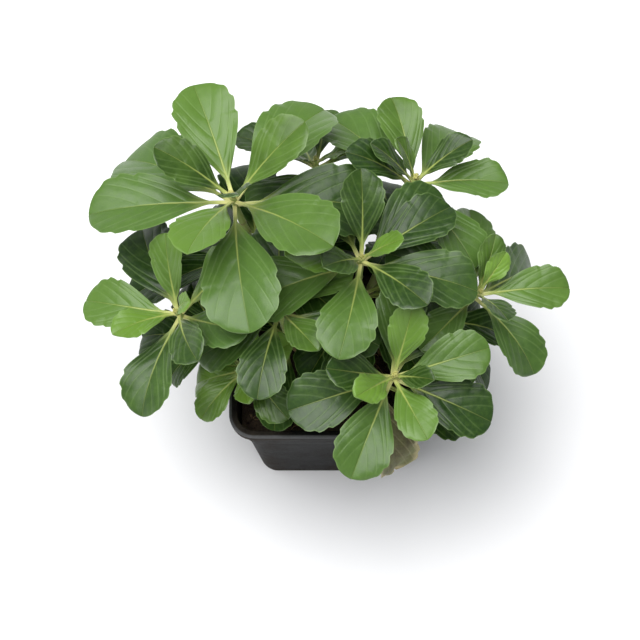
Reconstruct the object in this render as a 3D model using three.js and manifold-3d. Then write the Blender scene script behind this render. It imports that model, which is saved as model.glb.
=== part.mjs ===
// A potted Japanese spurge: upright leafy shoots that rise from moist soil in a thin square nursery pot.
// Each shoot ends in a rosette of spoon-shaped, bluntly toothed leaves, and most carry a second, lower whorl.
// Millimetres, +Z up, origin in the middle of the pot's flat underside, front of the plant at -Y.
import * as THREE from 'three';
import Module from 'manifold-3d';

const wasm = await Module();
wasm.setup();

// Pot: a tapered square tub with rounded corners, a stacking shoulder and a rolled rim.
const POT_HEIGHT = 85;
const RIM_HALF = 45;
const RIM_CORNER = 11.5;
const RIM_LIP = 2.6;
const RIM_SKIRT = 5;
const RIM_ROUND = 0.6;
const RIM_FLAT = 0.5;
const BASE_HALF = 32.2;
const BASE_CORNER = 8;
const BASE_BEVEL = 1;
const SHOULDER_HEIGHT = 63;
const SHOULDER_STEP = 1.2;
const SHOULDER_SLOPE = 1;
const POT_WALL = 1.1;
const POT_FLOOR = 1.4;
const FLOOR_FILLET = 0.5;
const DRAIN_RADIUS = 3.4;
const DRAIN_CORNER = 20;
const DRAIN_SIDE = 23.5;
const DRAIN_SIDES = 12;
const CORNER_STEPS = 5;

// Soil: a block that fills the pot to a little below the rim, slightly heaped in the middle.
const SOIL_EDGE_HEIGHT = 73;
const SOIL_HEAP = 3;
const SOIL_RINGS = [0.72, 0.45, 0.18];
const GAP = 0.3;
const FOOT_GAP = 0.45;

// Stems.
const STEM_FOOT_RADIUS = 2.1;
const STEM_TOP_RADIUS = 1.45;
const STEM_FLARE = 1.45;
const FLARE_LENGTH = 7;
const STEM_SIDES = 8;
const STEM_STEP = 9;
const FOOT_MARKS = [0, 2.5, 6];
const FOOT_LEAN = 26;
const CURVE_REACH = 0.38;
const CURVE_STEPS = 60;

// Leafy ends: the short length of stem that a rosette or whorl sits on.
const CROWN_STEM = 10;
const CROWN_LEAVES = [-7, -2];
const WHORL_BELOW = 5;
const WHORL_ABOVE = 6;
const WHORL_LEAVES = [-2.5, 1];
const BUD_STRETCH = 1.5;
const BUD_SIDES = 8;
const BUD_RINGS = 6;

// Leaves.
const STALK_SHARE = 0.13;
const STALK_HALF = 0.95;
const BLADE_RISE = 1.35;
const BLADE_FALL = 0.6;
const TOOTH_TIPS = [0.6, 0.74, 0.87];
const TOOTH_NOTCH = 0.04;
const TOOTH_DEPTH = 0.14;
const TOOTH_FADE = 1.6;
const STALK_MARK = 0.12;
const BLADE_MARKS = [0.18, 0.36];
const TIP_MARK = 0.96;
const DROOP_POWER = 1.5;
const LEAF_FOLD = 0.4;
const LEAF_CURL = 0.16;
const THICK_SHARE = 0.02;
const THICK_ENDS = [1.15, 0.85];
const PATH_STEPS = 24;
const GOLDEN_TURN = 137.5;
const SHRINK_POWER = 2.6;
const LIFT_POWER = 1.6;
const YOUNG_NARROWING = 0.2;
const YOUNG_SIZE = 40;

// How far leaves stray from the rule: a share of their length, then degrees.
const LENGTH_STRAY = 0.08;
const TURN_STRAY = 9;
const LIFT_STRAY = 6;
const DROOP_STRAY = 6;
const SWEEP_STRAY = 9;
const ROLL_STRAY = 12;

// Room between leaves: each blade is held clear by a net of points on it.
const NET_STEP = 3;
const NET_FROM = 0.1;
const CLEAR_OTHER = 3.3;
const CLEAR_OWN = 2.1;
const CLEAR_STEM = 2.4;
const OWN_FROM = 0.4;
const CLEAR_RIM = 2.2;
const CLEAR_SOIL = 3;
const LOWEST_LEAF = 50;

const DEG = Math.PI / 180;

// The shoots, tallest first. foot: where it leaves the soil. crown: where its tip stands, with its height
// above the rim. size: its longest leaf. lean: how far its tip tilts outwards. turn: where its first leaf
// points. whorl: the lower leaves, drop being how far they sit below the rosette. bud: radius of the bud at
// its heart.
const SHOOTS = [
  {
    name: 'back_left',
    foot: [-13, 11],
    crown: [-42, 40, 74],
    size: 68,
    lean: 12,
    turn: 0,
    leaves: 11,
    whorl: 8,
    drop: 34,
    bud: 2.6,
  },
  {
    name: 'middle',
    foot: [6, 5],
    crown: [14, 14, 68],
    size: 54,
    lean: 6,
    turn: 67,
    leaves: 11,
    whorl: 8,
    drop: 32,
    bud: 0,
  },
  {
    name: 'back_right',
    foot: [14, 17],
    crown: [38, 54, 62],
    size: 52,
    lean: 16,
    turn: 134,
    leaves: 9,
    whorl: 7,
    drop: 30,
    bud: 2.2,
  },
  {
    name: 'middle_left',
    foot: [-8, -4],
    crown: [-22, -6, 58],
    size: 46,
    lean: 8,
    turn: 201,
    leaves: 9,
    whorl: 6,
    drop: 30,
    bud: 0,
  },
  {
    name: 'front_right',
    foot: [14, -13],
    crown: [28, -34, 50],
    size: 48,
    lean: 12,
    turn: 54,
    leaves: 11,
    whorl: 4,
    drop: 24,
    bud: 2.4,
  },
  {
    name: 'left',
    foot: [-23, -2],
    crown: [-67, -4, 50],
    size: 48,
    lean: 20,
    turn: 335,
    leaves: 9,
    whorl: 7,
    drop: 26,
    bud: 0,
  },
  {
    name: 'right',
    foot: [25, 1],
    crown: [66, 6, 48],
    size: 46,
    lean: 22,
    turn: 42,
    leaves: 9,
    whorl: 7,
    drop: 25,
    bud: 0,
  },
  {
    name: 'back',
    foot: [-3, 24],
    crown: [-6, 72, 44],
    size: 44,
    lean: 22,
    turn: 109,
    leaves: 8,
    whorl: 6,
    drop: 24,
    bud: 0,
  },
  {
    name: 'front_left',
    foot: [-14, -16],
    crown: [-38, -21, 28],
    size: 32,
    lean: 20,
    turn: 176,
    leaves: 9,
    whorl: 0,
    drop: 0,
    bud: 0,
  },
];

// How a rosette's leaves change from its lowest leaf to its youngest, and how a whorl's leaves sit.
const ROSETTE = { lowLift: 6, highLift: 58, lowDroop: 36, highDroop: 18, shrink: 0.5, width: 0.57 };
const WHORL = { lowLift: 6, highLift: 18, lowDroop: 46, highDroop: 40, shrink: 0.1, width: 0.55 };

// One withered leaf of the front shoot's lower whorl hangs down over the rim.
const OLD_LEAF = {
  shoot: 'front_right',
  turn: -74,
  lift: 16,
  droop: 78,
  sweep: 6,
  roll: -14,
  fold: 0.5,
  length: 47,
  width: 0.5,
};

// A leaf that finds its place taken tries these turns and lifts in degrees, and these shares of its length.
const SHIFTS = [
  [0, 0, 1],
  [9, 4, 1],
  [-9, 4, 1],
  [0, 12, 1],
  [16, 0, 0.96],
  [-16, 0, 0.96],
  [0, -12, 0.96],
  [22, 10, 0.92],
  [-22, 10, 0.92],
  [0, 22, 0.88],
  [30, -4, 0.88],
  [-30, -4, 0.88],
  [0, -20, 0.84],
  [14, 26, 0.8],
  [-14, 26, 0.8],
  [45, 4, 0.84],
  [-45, 4, 0.84],
  [62, 12, 0.8],
  [-62, 12, 0.8],
  [30, 20, 0.72],
  [-30, 20, 0.72],
  [80, 0, 0.72],
  [-80, 0, 0.72],
];

// Colours, from the photograph, and how dull each surface is.
const POT_COLOUR = 0x1b1d1c;
const SOIL_COLOUR = 0x2c2219;
const STEM_COLOUR = 0x8c9a4e;
const LEAF_COLOUR = 0x4f7f3c;
const YOUNG_COLOUR = 0x7da544;
const POT_ROUGHNESS = 0.38;
const SOIL_ROUGHNESS = 0.95;
const STEM_ROUGHNESS = 0.6;
const LEAF_ROUGHNESS = 0.45;

// A repeatable stream of numbers between 0 and 1.
const STREAM_FACTOR = 48271;
const STREAM_PRIME = 2147483647;
let streamState = 2077;
function random() {
  streamState = (streamState * STREAM_FACTOR) % STREAM_PRIME;
  return streamState / STREAM_PRIME;
}

function mix(a, b, t) {
  return a + (b - a) * t;
}

// Joins a stack of equal rings into one closed solid. Each ring runs anticlockwise about the way the stack
// goes, and the stack ends in a flat cap, or in a point if tip is given.
function loft(rings, tip) {
  const size = rings[0].length;
  const positions = rings.flat().flatMap((p) => [p.x, p.y, p.z]);
  const index = [];
  for (let r = 0; r + 1 < rings.length; r += 1) {
    for (let i = 0; i < size; i += 1) {
      const a = r * size + i;
      const b = r * size + ((i + 1) % size);
      index.push(a, b, b + size, a, b + size, a + size);
    }
  }
  const last = (rings.length - 1) * size;
  for (let i = 1; i + 1 < size; i += 1) {
    index.push(0, i + 1, i);
  }
  if (tip) {
    positions.push(tip.x, tip.y, tip.z);
    for (let i = 0; i < size; i += 1) {
      index.push(last + i, last + ((i + 1) % size), last + size);
    }
  } else {
    for (let i = 1; i + 1 < size; i += 1) {
      index.push(last, last + i, last + i + 1);
    }
  }
  const geometry = new THREE.BufferGeometry();
  geometry.setAttribute('position', new THREE.Float32BufferAttribute(positions, 3));
  geometry.setIndex(index);
  return geometry;
}

// Turns a closed geometry into a solid that can be joined or cut.
function toSolid(geometry) {
  return new wasm.Manifold(
    new wasm.Mesh({
      numProp: 3,
      vertProperties: new Float32Array(geometry.attributes.position.array),
      triVerts: new Uint32Array(geometry.index.array),
    }),
  );
}

// Turns a solid back into a geometry.
function toGeometry(solid) {
  const mesh = solid.getMesh();
  const geometry = new THREE.BufferGeometry();
  geometry.setAttribute('position', new THREE.Float32BufferAttribute(mesh.vertProperties, 3));
  geometry.setIndex([...mesh.triVerts]);
  return geometry;
}

// Fuses solids into one, fills what closes up inside and drops loose scraps: the largest body stays.
function fuse(solids) {
  const bodies = wasm.Manifold.union(solids).decompose();
  return bodies.reduce((best, body) => (body.volume() > best.volume() ? body : best));
}

// A rounded square ring at one height, anticlockwise seen from above.
function squareRing(half, corner, z) {
  const ring = [];
  for (let quarter = 0; quarter < 4; quarter += 1) {
    const start = quarter * 90;
    const side = new THREE.Vector2(half - corner, half - corner);
    side.rotateAround(new THREE.Vector2(), start * DEG);
    for (let step = 0; step <= CORNER_STEPS; step += 1) {
      const turn = (start + (step * 90) / CORNER_STEPS) * DEG;
      ring.push(new THREE.Vector3(side.x + corner * Math.cos(turn), side.y + corner * Math.sin(turn), z));
    }
  }
  return ring;
}

// Half the outer width of the pot's wall at a height, with the step of the stacking shoulder.
function wallHalf(z) {
  const slope = (RIM_HALF - RIM_LIP - SHOULDER_STEP - BASE_HALF) / POT_HEIGHT;
  return BASE_HALF + slope * z + (z > SHOULDER_HEIGHT ? SHOULDER_STEP : 0);
}

function cornerAt(z) {
  return mix(BASE_CORNER, RIM_CORNER - RIM_LIP, z / POT_HEIGHT);
}

function wallRing(z, inset) {
  return squareRing(wallHalf(z) - inset, cornerAt(z) - inset, z);
}

function makePot() {
  const skirt = POT_HEIGHT - RIM_SKIRT;
  const below = SHOULDER_HEIGHT - SHOULDER_SLOPE;
  const above = SHOULDER_HEIGHT + SHOULDER_SLOPE;
  const body = loft([
    squareRing(BASE_HALF - BASE_BEVEL, BASE_CORNER - BASE_BEVEL, 0),
    wallRing(BASE_BEVEL, 0),
    wallRing(below, 0),
    wallRing(above, 0),
    wallRing(skirt, 0),
    squareRing(RIM_HALF - RIM_FLAT, RIM_CORNER - RIM_FLAT, skirt),
    squareRing(RIM_HALF, RIM_CORNER, POT_HEIGHT - RIM_ROUND),
    squareRing(RIM_HALF - RIM_ROUND, RIM_CORNER - RIM_ROUND, POT_HEIGHT),
    squareRing(wallHalf(POT_HEIGHT) - RIM_FLAT, RIM_CORNER - RIM_LIP, POT_HEIGHT),
    wallRing(POT_HEIGHT - RIM_ROUND, POT_WALL),
    wallRing(above, POT_WALL),
    wallRing(below, POT_WALL),
    wallRing(POT_FLOOR, POT_WALL + FLOOR_FILLET),
  ]);
  const drains = [];
  for (let turn = 0; turn < 4; turn += 1) {
    for (const [x, y] of [[DRAIN_CORNER, DRAIN_CORNER], [DRAIN_SIDE, 0]]) {
      const drill = new THREE.CylinderGeometry(DRAIN_RADIUS, DRAIN_RADIUS, POT_FLOOR * 4, DRAIN_SIDES);
      drill.rotateX(90 * DEG);
      drill.translate(x, y, 0);
      drill.rotateZ(turn * 90 * DEG);
      drains.push(toSolid(weld(drill)));
    }
  }
  return toGeometry(toSolid(body).subtract(wasm.Manifold.union(drains)));
}

// Shares the vertices of a standard geometry so that it is one closed surface.
function weld(geometry) {
  const found = new Map();
  const source = geometry.attributes.position;
  const positions = [];
  const index = [];
  for (const corner of geometry.index.array) {
    const point = [source.getX(corner), source.getY(corner), source.getZ(corner)];
    const key = point.map((value) => Math.round(value * 1e4)).join();
    if (!found.has(key)) {
      found.set(key, found.size);
      positions.push(...point);
    }
    index.push(found.get(key));
  }
  const welded = new THREE.BufferGeometry();
  welded.setAttribute('position', new THREE.Float32BufferAttribute(positions, 3));
  welded.setIndex(index);
  return welded;
}

// Height of the soil at a point: highest in the middle, lowest along the wall.
function soilHeight(x, y) {
  const reach = Math.max(Math.abs(x), Math.abs(y)) / wallHalf(SOIL_EDGE_HEIGHT);
  return SOIL_EDGE_HEIGHT + SOIL_HEAP * (1 - reach * reach);
}

function makeSoil() {
  const inset = POT_WALL + GAP;
  const rings = [
    wallRing(POT_FLOOR + GAP, inset + FLOOR_FILLET),
    wallRing(SHOULDER_HEIGHT - SHOULDER_SLOPE, inset),
    wallRing(SHOULDER_HEIGHT + SHOULDER_SLOPE + GAP, inset),
    wallRing(SOIL_EDGE_HEIGHT, inset),
  ];
  const edge = wallHalf(SOIL_EDGE_HEIGHT);
  for (const share of SOIL_RINGS) {
    rings.push(squareRing(edge * share, cornerAt(SOIL_EDGE_HEIGHT) * share, soilHeight(edge * share, 0)));
  }
  return loft(rings);
}

// The line of a shoot: a smooth curve from its foot to its tip, measured along its length.
function shootLine(shoot) {
  const foot = new THREE.Vector3(shoot.foot[0], shoot.foot[1], 0);
  foot.z = soilHeight(foot.x, foot.y) + FOOT_GAP;
  const tip = new THREE.Vector3(shoot.crown[0], shoot.crown[1], POT_HEIGHT + shoot.crown[2]);
  const way = Math.atan2(tip.y - foot.y, tip.x - foot.x);
  const reach = foot.distanceTo(tip) * CURVE_REACH;
  const start = leaning(way, FOOT_LEAN).multiplyScalar(reach).add(foot);
  const end = tip.clone().sub(leaning(way, shoot.lean).multiplyScalar(reach));
  const curve = new THREE.CubicBezierCurve3(foot, start, end, tip);
  const points = curve.getPoints(CURVE_STEPS);
  const lengths = [0];
  for (let i = 1; i < points.length; i += 1) {
    lengths.push(lengths[i - 1] + points[i].distanceTo(points[i - 1]));
  }
  return { points, lengths, total: lengths[CURVE_STEPS] };
}

function leaning(way, lean) {
  const out = Math.sin(lean * DEG);
  return new THREE.Vector3(Math.cos(way) * out, Math.sin(way) * out, Math.cos(lean * DEG));
}

// The point and the direction of a shoot's line at a distance from its foot.
function along(line, distance) {
  let i = 0;
  while (i < CURVE_STEPS - 1 && line.lengths[i + 1] < distance) {
    i += 1;
  }
  const share = (distance - line.lengths[i]) / (line.lengths[i + 1] - line.lengths[i]);
  const point = line.points[i].clone().lerp(line.points[i + 1], share);
  const before = line.points[Math.max(i - 1, 0)];
  const after = line.points[Math.min(i + 2, CURVE_STEPS)];
  return { point, way: after.clone().sub(before).normalize() };
}

// Half the thickness of a shoot's stem, widest at the foot.
function stemRadius(line, distance) {
  const taper = mix(STEM_FOOT_RADIUS, STEM_TOP_RADIUS, distance / line.total);
  const flare = 1 + (STEM_FLARE - 1) * Math.max(0, 1 - distance / FLARE_LENGTH) ** 2;
  return taper * flare;
}

// One length of stem between two distances. At the foot it is cut level with the ground.
function makeStem(line, from, to) {
  const marks = from === 0 ? [...FOOT_MARKS] : [from];
  const begin = marks[marks.length - 1];
  const steps = Math.max(1, Math.round((to - begin) / STEM_STEP));
  for (let i = 1; i <= steps; i += 1) {
    marks.push(mix(begin, to, i / steps));
  }
  const rings = marks.map((distance) => {
    const { point, way } = along(line, distance);
    const normal = distance === 0 ? new THREE.Vector3(0, 0, 1) : way;
    const across = new THREE.Vector3(1, 0, 0).addScaledVector(normal, -normal.x).normalize();
    const beside = normal.clone().cross(across);
    const radius = stemRadius(line, distance);
    const ring = [];
    for (let i = 0; i < STEM_SIDES; i += 1) {
      const turn = (i / STEM_SIDES) * 2 * Math.PI;
      ring.push(
        point
          .clone()
          .addScaledVector(across, radius * Math.cos(turn))
          .addScaledVector(beside, radius * Math.sin(turn)),
      );
    }
    return ring;
  });
  return loft(rings);
}

// Half the width of a leaf at a share of its length: a narrow stalk, then a spoon-shaped blade with a round
// end and blunt teeth that point to it.
function leafHalfWidth(leaf, u) {
  if (u <= STALK_SHARE) {
    return STALK_HALF;
  }
  const s = (u - STALK_SHARE) / (1 - STALK_SHARE);
  const peak = BLADE_RISE / (BLADE_RISE + BLADE_FALL);
  const full = (s / peak) ** BLADE_RISE * ((1 - s) / (1 - peak)) ** BLADE_FALL;
  let cut = 0;
  TOOTH_TIPS.forEach((tooth, k) => {
    const next = k + 1 < TOOTH_TIPS.length ? TOOTH_TIPS[k + 1] : 1;
    if (s > tooth && s < next) {
      const drop = Math.min((s - tooth) / TOOTH_NOTCH, 1);
      cut = TOOTH_DEPTH * drop * ((next - s) / (next - tooth)) ** TOOTH_FADE;
    }
  });
  return Math.max(STALK_HALF * (1 - s * s), leaf.half * full * (1 - cut));
}

// The midrib of a leaf that grows along +X from the origin: it lifts, then bends down and to one side.
function midrib(leaf) {
  const points = [new THREE.Vector3()];
  for (let k = 0; k < PATH_STEPS; k += 1) {
    const { way } = leafAxes(leaf, (k + 0.5) / PATH_STEPS);
    points.push(points[k].clone().addScaledVector(way, leaf.length / PATH_STEPS));
  }
  return points;
}

// The directions of a leaf at a share of its length: onward, to its left, and up out of its face.
function leafAxes(leaf, u) {
  const pitch = (leaf.lift - leaf.droop * u ** DROOP_POWER) * DEG;
  const bend = leaf.sweep * u * DEG;
  const roll = leaf.roll * u * DEG;
  const way = new THREE.Vector3(
    Math.cos(pitch) * Math.cos(bend),
    Math.cos(pitch) * Math.sin(bend),
    Math.sin(pitch),
  );
  const flat = new THREE.Vector3(-Math.sin(bend), Math.cos(bend), 0);
  const up = way.clone().cross(flat);
  const left = flat.clone().multiplyScalar(Math.cos(roll)).addScaledVector(up, Math.sin(roll));
  const face = up.multiplyScalar(Math.cos(roll)).addScaledVector(flat, -Math.sin(roll));
  return { way, left, face };
}

// Carries a point of a leaf from its own frame to its place on the shoot, whose direction there is way.
function placeOnShoot(leaf, point) {
  const turned = point.clone().applyAxisAngle(new THREE.Vector3(0, 0, 1), leaf.turn * DEG);
  const side = new THREE.Vector3(-leaf.way.y, leaf.way.x, 0);
  const tilted = turned
    .clone()
    .multiplyScalar(leaf.way.z)
    .add(side.clone().cross(turned))
    .addScaledVector(side, side.dot(turned) / (1 + leaf.way.z));
  return tilted.add(leaf.root);
}

// A point on a leaf: u runs along it and v across it from -1 to 1, with rise added out of its face.
function leafPoint(leaf, u, v, rise) {
  const place = Math.min(u * PATH_STEPS, PATH_STEPS - 1e-9);
  const k = Math.floor(place);
  const centre = leaf.rib[k].clone().lerp(leaf.rib[k + 1], place - k);
  const { left, face } = leafAxes(leaf, u);
  const width = leafHalfWidth(leaf, u);
  const lift = width * (leaf.fold * Math.abs(v) - LEAF_CURL * v * v) + rise;
  return placeOnShoot(leaf, centre.addScaledVector(left, v * width).addScaledVector(face, lift));
}

// The net of points that stands for a leaf when its neighbours are tested for room.
function leafNet(leaf) {
  const net = [];
  const rows = Math.ceil((leaf.length * (1 - NET_FROM)) / NET_STEP);
  for (let r = 0; r <= rows; r += 1) {
    const u = mix(NET_FROM, 1, r / rows);
    const columns = Math.max(1, Math.ceil((2 * leafHalfWidth(leaf, u)) / NET_STEP));
    for (let c = 0; c <= columns; c += 1) {
      const point = leafPoint(leaf, u, (2 * c) / columns - 1, 0);
      net.push({ x: point.x, y: point.y, z: point.z, u });
    }
  }
  return net;
}

// The leaf as a closed solid with a four-cornered section and a station at each tooth and notch.
function leafSolid(leaf) {
  const marks = [0, STALK_MARK];
  for (const s of BLADE_MARKS) {
    marks.push(mix(STALK_SHARE, 1, s));
  }
  for (const tooth of TOOTH_TIPS) {
    marks.push(mix(STALK_SHARE, 1, tooth), mix(STALK_SHARE, 1, tooth + TOOTH_NOTCH));
  }
  marks.push(mix(STALK_SHARE, 1, TIP_MARK));
  const thick = THICK_SHARE * leaf.length;
  const rings = marks.map((u) => {
    const half = (thick / 2) * mix(...THICK_ENDS, u);
    return [
      leafPoint(leaf, u, -1, 0),
      leafPoint(leaf, u, 0, -half),
      leafPoint(leaf, u, 1, 0),
      leafPoint(leaf, u, 0, half),
    ];
  });
  return toSolid(loft(rings, leafPoint(leaf, 1, 0, 0)));
}

// Whether a net keeps clear of the pot: over the soil, over the rim, and off the ground beyond it.
function clearOfPot(net) {
  return net.every((p) => {
    const reach = Math.max(Math.abs(p.x), Math.abs(p.y));
    if (reach < wallHalf(POT_HEIGHT) - POT_WALL - CLEAR_SOIL) {
      return p.z > soilHeight(p.x, p.y) + CLEAR_SOIL;
    }
    return p.z > (reach > RIM_HALF + CLEAR_SOIL ? LOWEST_LEAF : POT_HEIGHT + CLEAR_RIM);
  });
}

// Completes a leaf with its half width and its midrib.
function finishLeaf(leaf, width) {
  leaf.half = (leaf.length * width) / 2;
  leaf.rib = midrib(leaf);
  return leaf;
}

const placedLeaves = [];
const placedStems = [];

// Whether a net keeps its distance from every stem and from every leaf placed before it.
function clearOfPlant(net, mass, shoot) {
  const box = new THREE.Box3().setFromPoints(net.map((p) => new THREE.Vector3(p.x, p.y, p.z)));
  for (const stem of placedStems) {
    for (const p of net) {
      if (stem.shoot === shoot && p.u < OWN_FROM) {
        continue;
      }
      for (const q of stem.net) {
        if (Math.hypot(p.x - q.x, p.y - q.y, p.z - q.z) < q.radius + CLEAR_STEM) {
          return false;
        }
      }
    }
  }
  for (const other of placedLeaves) {
    const own = other.mass === mass;
    const room = own ? CLEAR_OWN : CLEAR_OTHER;
    if (!box.clone().expandByScalar(room).intersectsBox(other.box)) {
      continue;
    }
    for (const p of net) {
      for (const q of other.net) {
        if (own && (p.u < OWN_FROM || q.u < OWN_FROM)) {
          continue;
        }
        if (Math.hypot(p.x - q.x, p.y - q.y, p.z - q.z) < room) {
          return false;
        }
      }
    }
  }
  return true;
}

function keepLeaf(leaves, leaf, net, mass) {
  const box = new THREE.Box3().setFromPoints(net.map((p) => new THREE.Vector3(p.x, p.y, p.z)));
  placedLeaves.push({ mass, net, box });
  leaves.push(leaf);
}

// Grows the leaves of one rosette or whorl, lowest first, by the golden turn. A leaf with no free place is
// left out.
function growLeaves(shoot, line, mass, count, habit, low, high) {
  const leaves = [];
  for (let i = 0; i < count; i += 1) {
    const age = i / Math.max(count - 1, 1);
    const jitter = [0, 0, 0, 0, 0, 0].map(() => random() * 2 - 1);
    const { point, way } = along(line, mix(low, high, age));
    const length = shoot.size * (1 - habit.shrink * age ** SHRINK_POWER) * (1 + LENGTH_STRAY * jitter[0]);
    for (const [turn, lift, share] of SHIFTS) {
      const leaf = {
        root: point,
        way,
        turn: i * GOLDEN_TURN + shoot.turn + TURN_STRAY * jitter[1] + turn,
        lift: mix(habit.lowLift, habit.highLift, age ** LIFT_POWER) + LIFT_STRAY * jitter[2] + lift,
        droop: mix(habit.lowDroop, habit.highDroop, age) + DROOP_STRAY * jitter[3],
        sweep: SWEEP_STRAY * jitter[4],
        roll: ROLL_STRAY * jitter[5],
        fold: LEAF_FOLD,
        length: length * share,
      };
      finishLeaf(leaf, habit.width * (1 - YOUNG_NARROWING * age));
      const net = leafNet(leaf);
      if (clearOfPot(net) && clearOfPlant(net, mass, shoot)) {
        keepLeaf(leaves, leaf, net, mass);
        break;
      }
    }
  }
  return leaves;
}

const plant = new THREE.Group();

function addMesh(group, name, geometry, colour, roughness) {
  const material = new THREE.MeshStandardMaterial({ color: colour, roughness, metalness: 0 });
  const shift = group.position.clone().negate();
  const mesh = new THREE.Mesh(geometry.translate(shift.x, shift.y, shift.z), material);
  mesh.name = name;
  group.add(mesh);
}

addMesh(plant, 'pot', makePot(), POT_COLOUR, POT_ROUGHNESS);
addMesh(plant, 'soil', makeSoil(), SOIL_COLOUR, SOIL_ROUGHNESS);

// Every shoot's line and stems come first, so that all leaves keep clear of them.
const growing = SHOOTS.map((shoot) => {
  const line = shootLine(shoot);
  const net = [];
  for (let distance = 0; distance <= line.total; distance += NET_STEP) {
    const { point } = along(line, distance);
    net.push({ x: point.x, y: point.y, z: point.z, radius: stemRadius(line, distance) });
  }
  placedStems.push({ shoot, net });
  return { shoot, line };
});

// The rosettes, tallest first, then the lower whorls in what room is left.
for (const grown of growing) {
  const { shoot, line } = grown;
  const mass = shoot.name + '_rosette';
  const [low, high] = CROWN_LEAVES;
  grown.rosette = growLeaves(shoot, line, mass, shoot.leaves, ROSETTE, line.total + low, line.total + high);
}
for (const grown of growing) {
  const { shoot, line } = grown;
  const mass = shoot.name + '_whorl';
  grown.middle = line.total - CROWN_STEM - shoot.drop;
  grown.old = [];
  if (shoot.name === OLD_LEAF.shoot) {
    const { point, way } = along(line, grown.middle + WHORL_LEAVES[0]);
    const leaf = finishLeaf({ root: point, way, ...OLD_LEAF }, OLD_LEAF.width);
    keepLeaf(grown.old, leaf, leafNet(leaf), mass);
  }
}
for (const grown of growing) {
  const { shoot, line, middle } = grown;
  const mass = shoot.name + '_whorl';
  const [low, high] = WHORL_LEAVES;
  const fresh = growLeaves(shoot, line, mass, shoot.whorl, WHORL, middle + low, middle + high);
  grown.lower = [...grown.old, ...fresh];
}

for (const { shoot, line, rosette, lower, middle } of growing) {
  const group = new THREE.Group();
  group.position.set(shoot.foot[0], shoot.foot[1], soilHeight(...shoot.foot));
  plant.add(group);
  const crownFrom = line.total - CROWN_STEM;
  const leafColour = shoot.size < YOUNG_SIZE ? YOUNG_COLOUR : LEAF_COLOUR;
  const name = shoot.name;
  if (lower.length) {
    const foot = makeStem(line, 0, middle - WHORL_BELOW - GAP);
    addMesh(group, name + '_stem', foot, STEM_COLOUR, STEM_ROUGHNESS);
    const whorlStem = toSolid(makeStem(line, middle - WHORL_BELOW, middle + WHORL_ABOVE));
    const whorl = fuse([whorlStem, ...lower.map(leafSolid)]);
    addMesh(group, name + '_whorl', toGeometry(whorl), leafColour, LEAF_ROUGHNESS);
    const upper = makeStem(line, middle + WHORL_ABOVE + GAP, crownFrom - GAP);
    addMesh(group, name + '_upper_stem', upper, STEM_COLOUR, STEM_ROUGHNESS);
  } else {
    addMesh(group, name + '_stem', makeStem(line, 0, crownFrom - GAP), STEM_COLOUR, STEM_ROUGHNESS);
  }
  const pieces = [toSolid(makeStem(line, crownFrom, line.total)), ...rosette.map(leafSolid)];
  if (shoot.bud) {
    const bud = new THREE.SphereGeometry(shoot.bud, BUD_SIDES, BUD_RINGS);
    bud.scale(1, 1, BUD_STRETCH);
    const { point, way } = along(line, line.total);
    bud.translate(point.x + way.x, point.y + way.y, point.z + way.z);
    pieces.push(toSolid(weld(bud)));
  }
  addMesh(group, name + '_rosette', toGeometry(fuse(pieces)), leafColour, LEAF_ROUGHNESS);
}

export default plant;
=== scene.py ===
"""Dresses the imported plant: a Japanese spurge in a square nursery pot.

Every leaf, stem and the pot's wall is a surface worked out from the same named sizes and the same seeded
rule as the solids underneath, carried to a finer shape: veined leaves with toothed margins, ridged stems,
crumbly soil and a moulded plastic pot. Lengths are in millimetres until a mesh is made, then in metres.
"""
import math
from functools import partialmethod
from itertools import product

import bpy
import numpy as np
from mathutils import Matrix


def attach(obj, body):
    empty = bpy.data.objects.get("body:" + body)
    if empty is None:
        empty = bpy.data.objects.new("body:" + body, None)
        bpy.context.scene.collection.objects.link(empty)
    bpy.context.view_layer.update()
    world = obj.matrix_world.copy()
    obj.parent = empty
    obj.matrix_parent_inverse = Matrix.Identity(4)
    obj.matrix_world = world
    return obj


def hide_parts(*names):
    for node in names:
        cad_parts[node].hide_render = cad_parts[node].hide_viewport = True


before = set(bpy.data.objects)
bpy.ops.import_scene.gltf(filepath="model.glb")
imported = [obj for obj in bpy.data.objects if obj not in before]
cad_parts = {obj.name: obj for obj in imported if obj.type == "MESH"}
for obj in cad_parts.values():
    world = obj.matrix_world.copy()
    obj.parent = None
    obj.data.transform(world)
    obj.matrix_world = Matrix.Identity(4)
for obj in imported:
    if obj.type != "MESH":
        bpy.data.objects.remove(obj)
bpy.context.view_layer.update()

bl_info = {
    "name": "Potted spurge",
    "version": (1, 0, 0),
    "blender": (4, 5, 0),
    "location": "View3D > Sidebar > Spurge",
    "description": "Builds the looks of a potted Japanese spurge around its solids",
    "category": "Add Mesh",
}

MM = 0.001
DEG = math.pi / 180

# Pot.
POT_HEIGHT = 85.0
RIM_HALF = 45.0
RIM_CORNER = 11.5
RIM_LIP = 2.6
RIM_SKIRT = 5.0
RIM_ROUND = 0.6
BASE_HALF = 32.2
BASE_CORNER = 8.0
BASE_BEVEL = 1.0
SHOULDER_HEIGHT = 63.0
SHOULDER_STEP = 1.2
SHOULDER_SLOPE = 1.0
POT_WALL = 1.1
POT_FLOOR = 1.4
FLOOR_FILLET = 0.5
WALL_BOW = 0.35
BOW_SHARE = 0.75
DRAIN_RADIUS = 3.4
DRAIN_PLACES = ((20.0, 20.0), (23.5, 0.0))
DRILL_ENDS = (-2.0, 3.0)
POT_SIDES = 160
DRAIN_SIDES = 48
CRISP_ANGLE = 35

# Insets of rings with their height over the skirt's foot, and of rings inside the rim with their depth.
SKIRT_RINGS = ((1.1, 0.0), (0.5, 0.25))
MOUTH_RINGS = ((0.0, 0.0), (0.35, 0.1), (0.6, 0.35))

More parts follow.
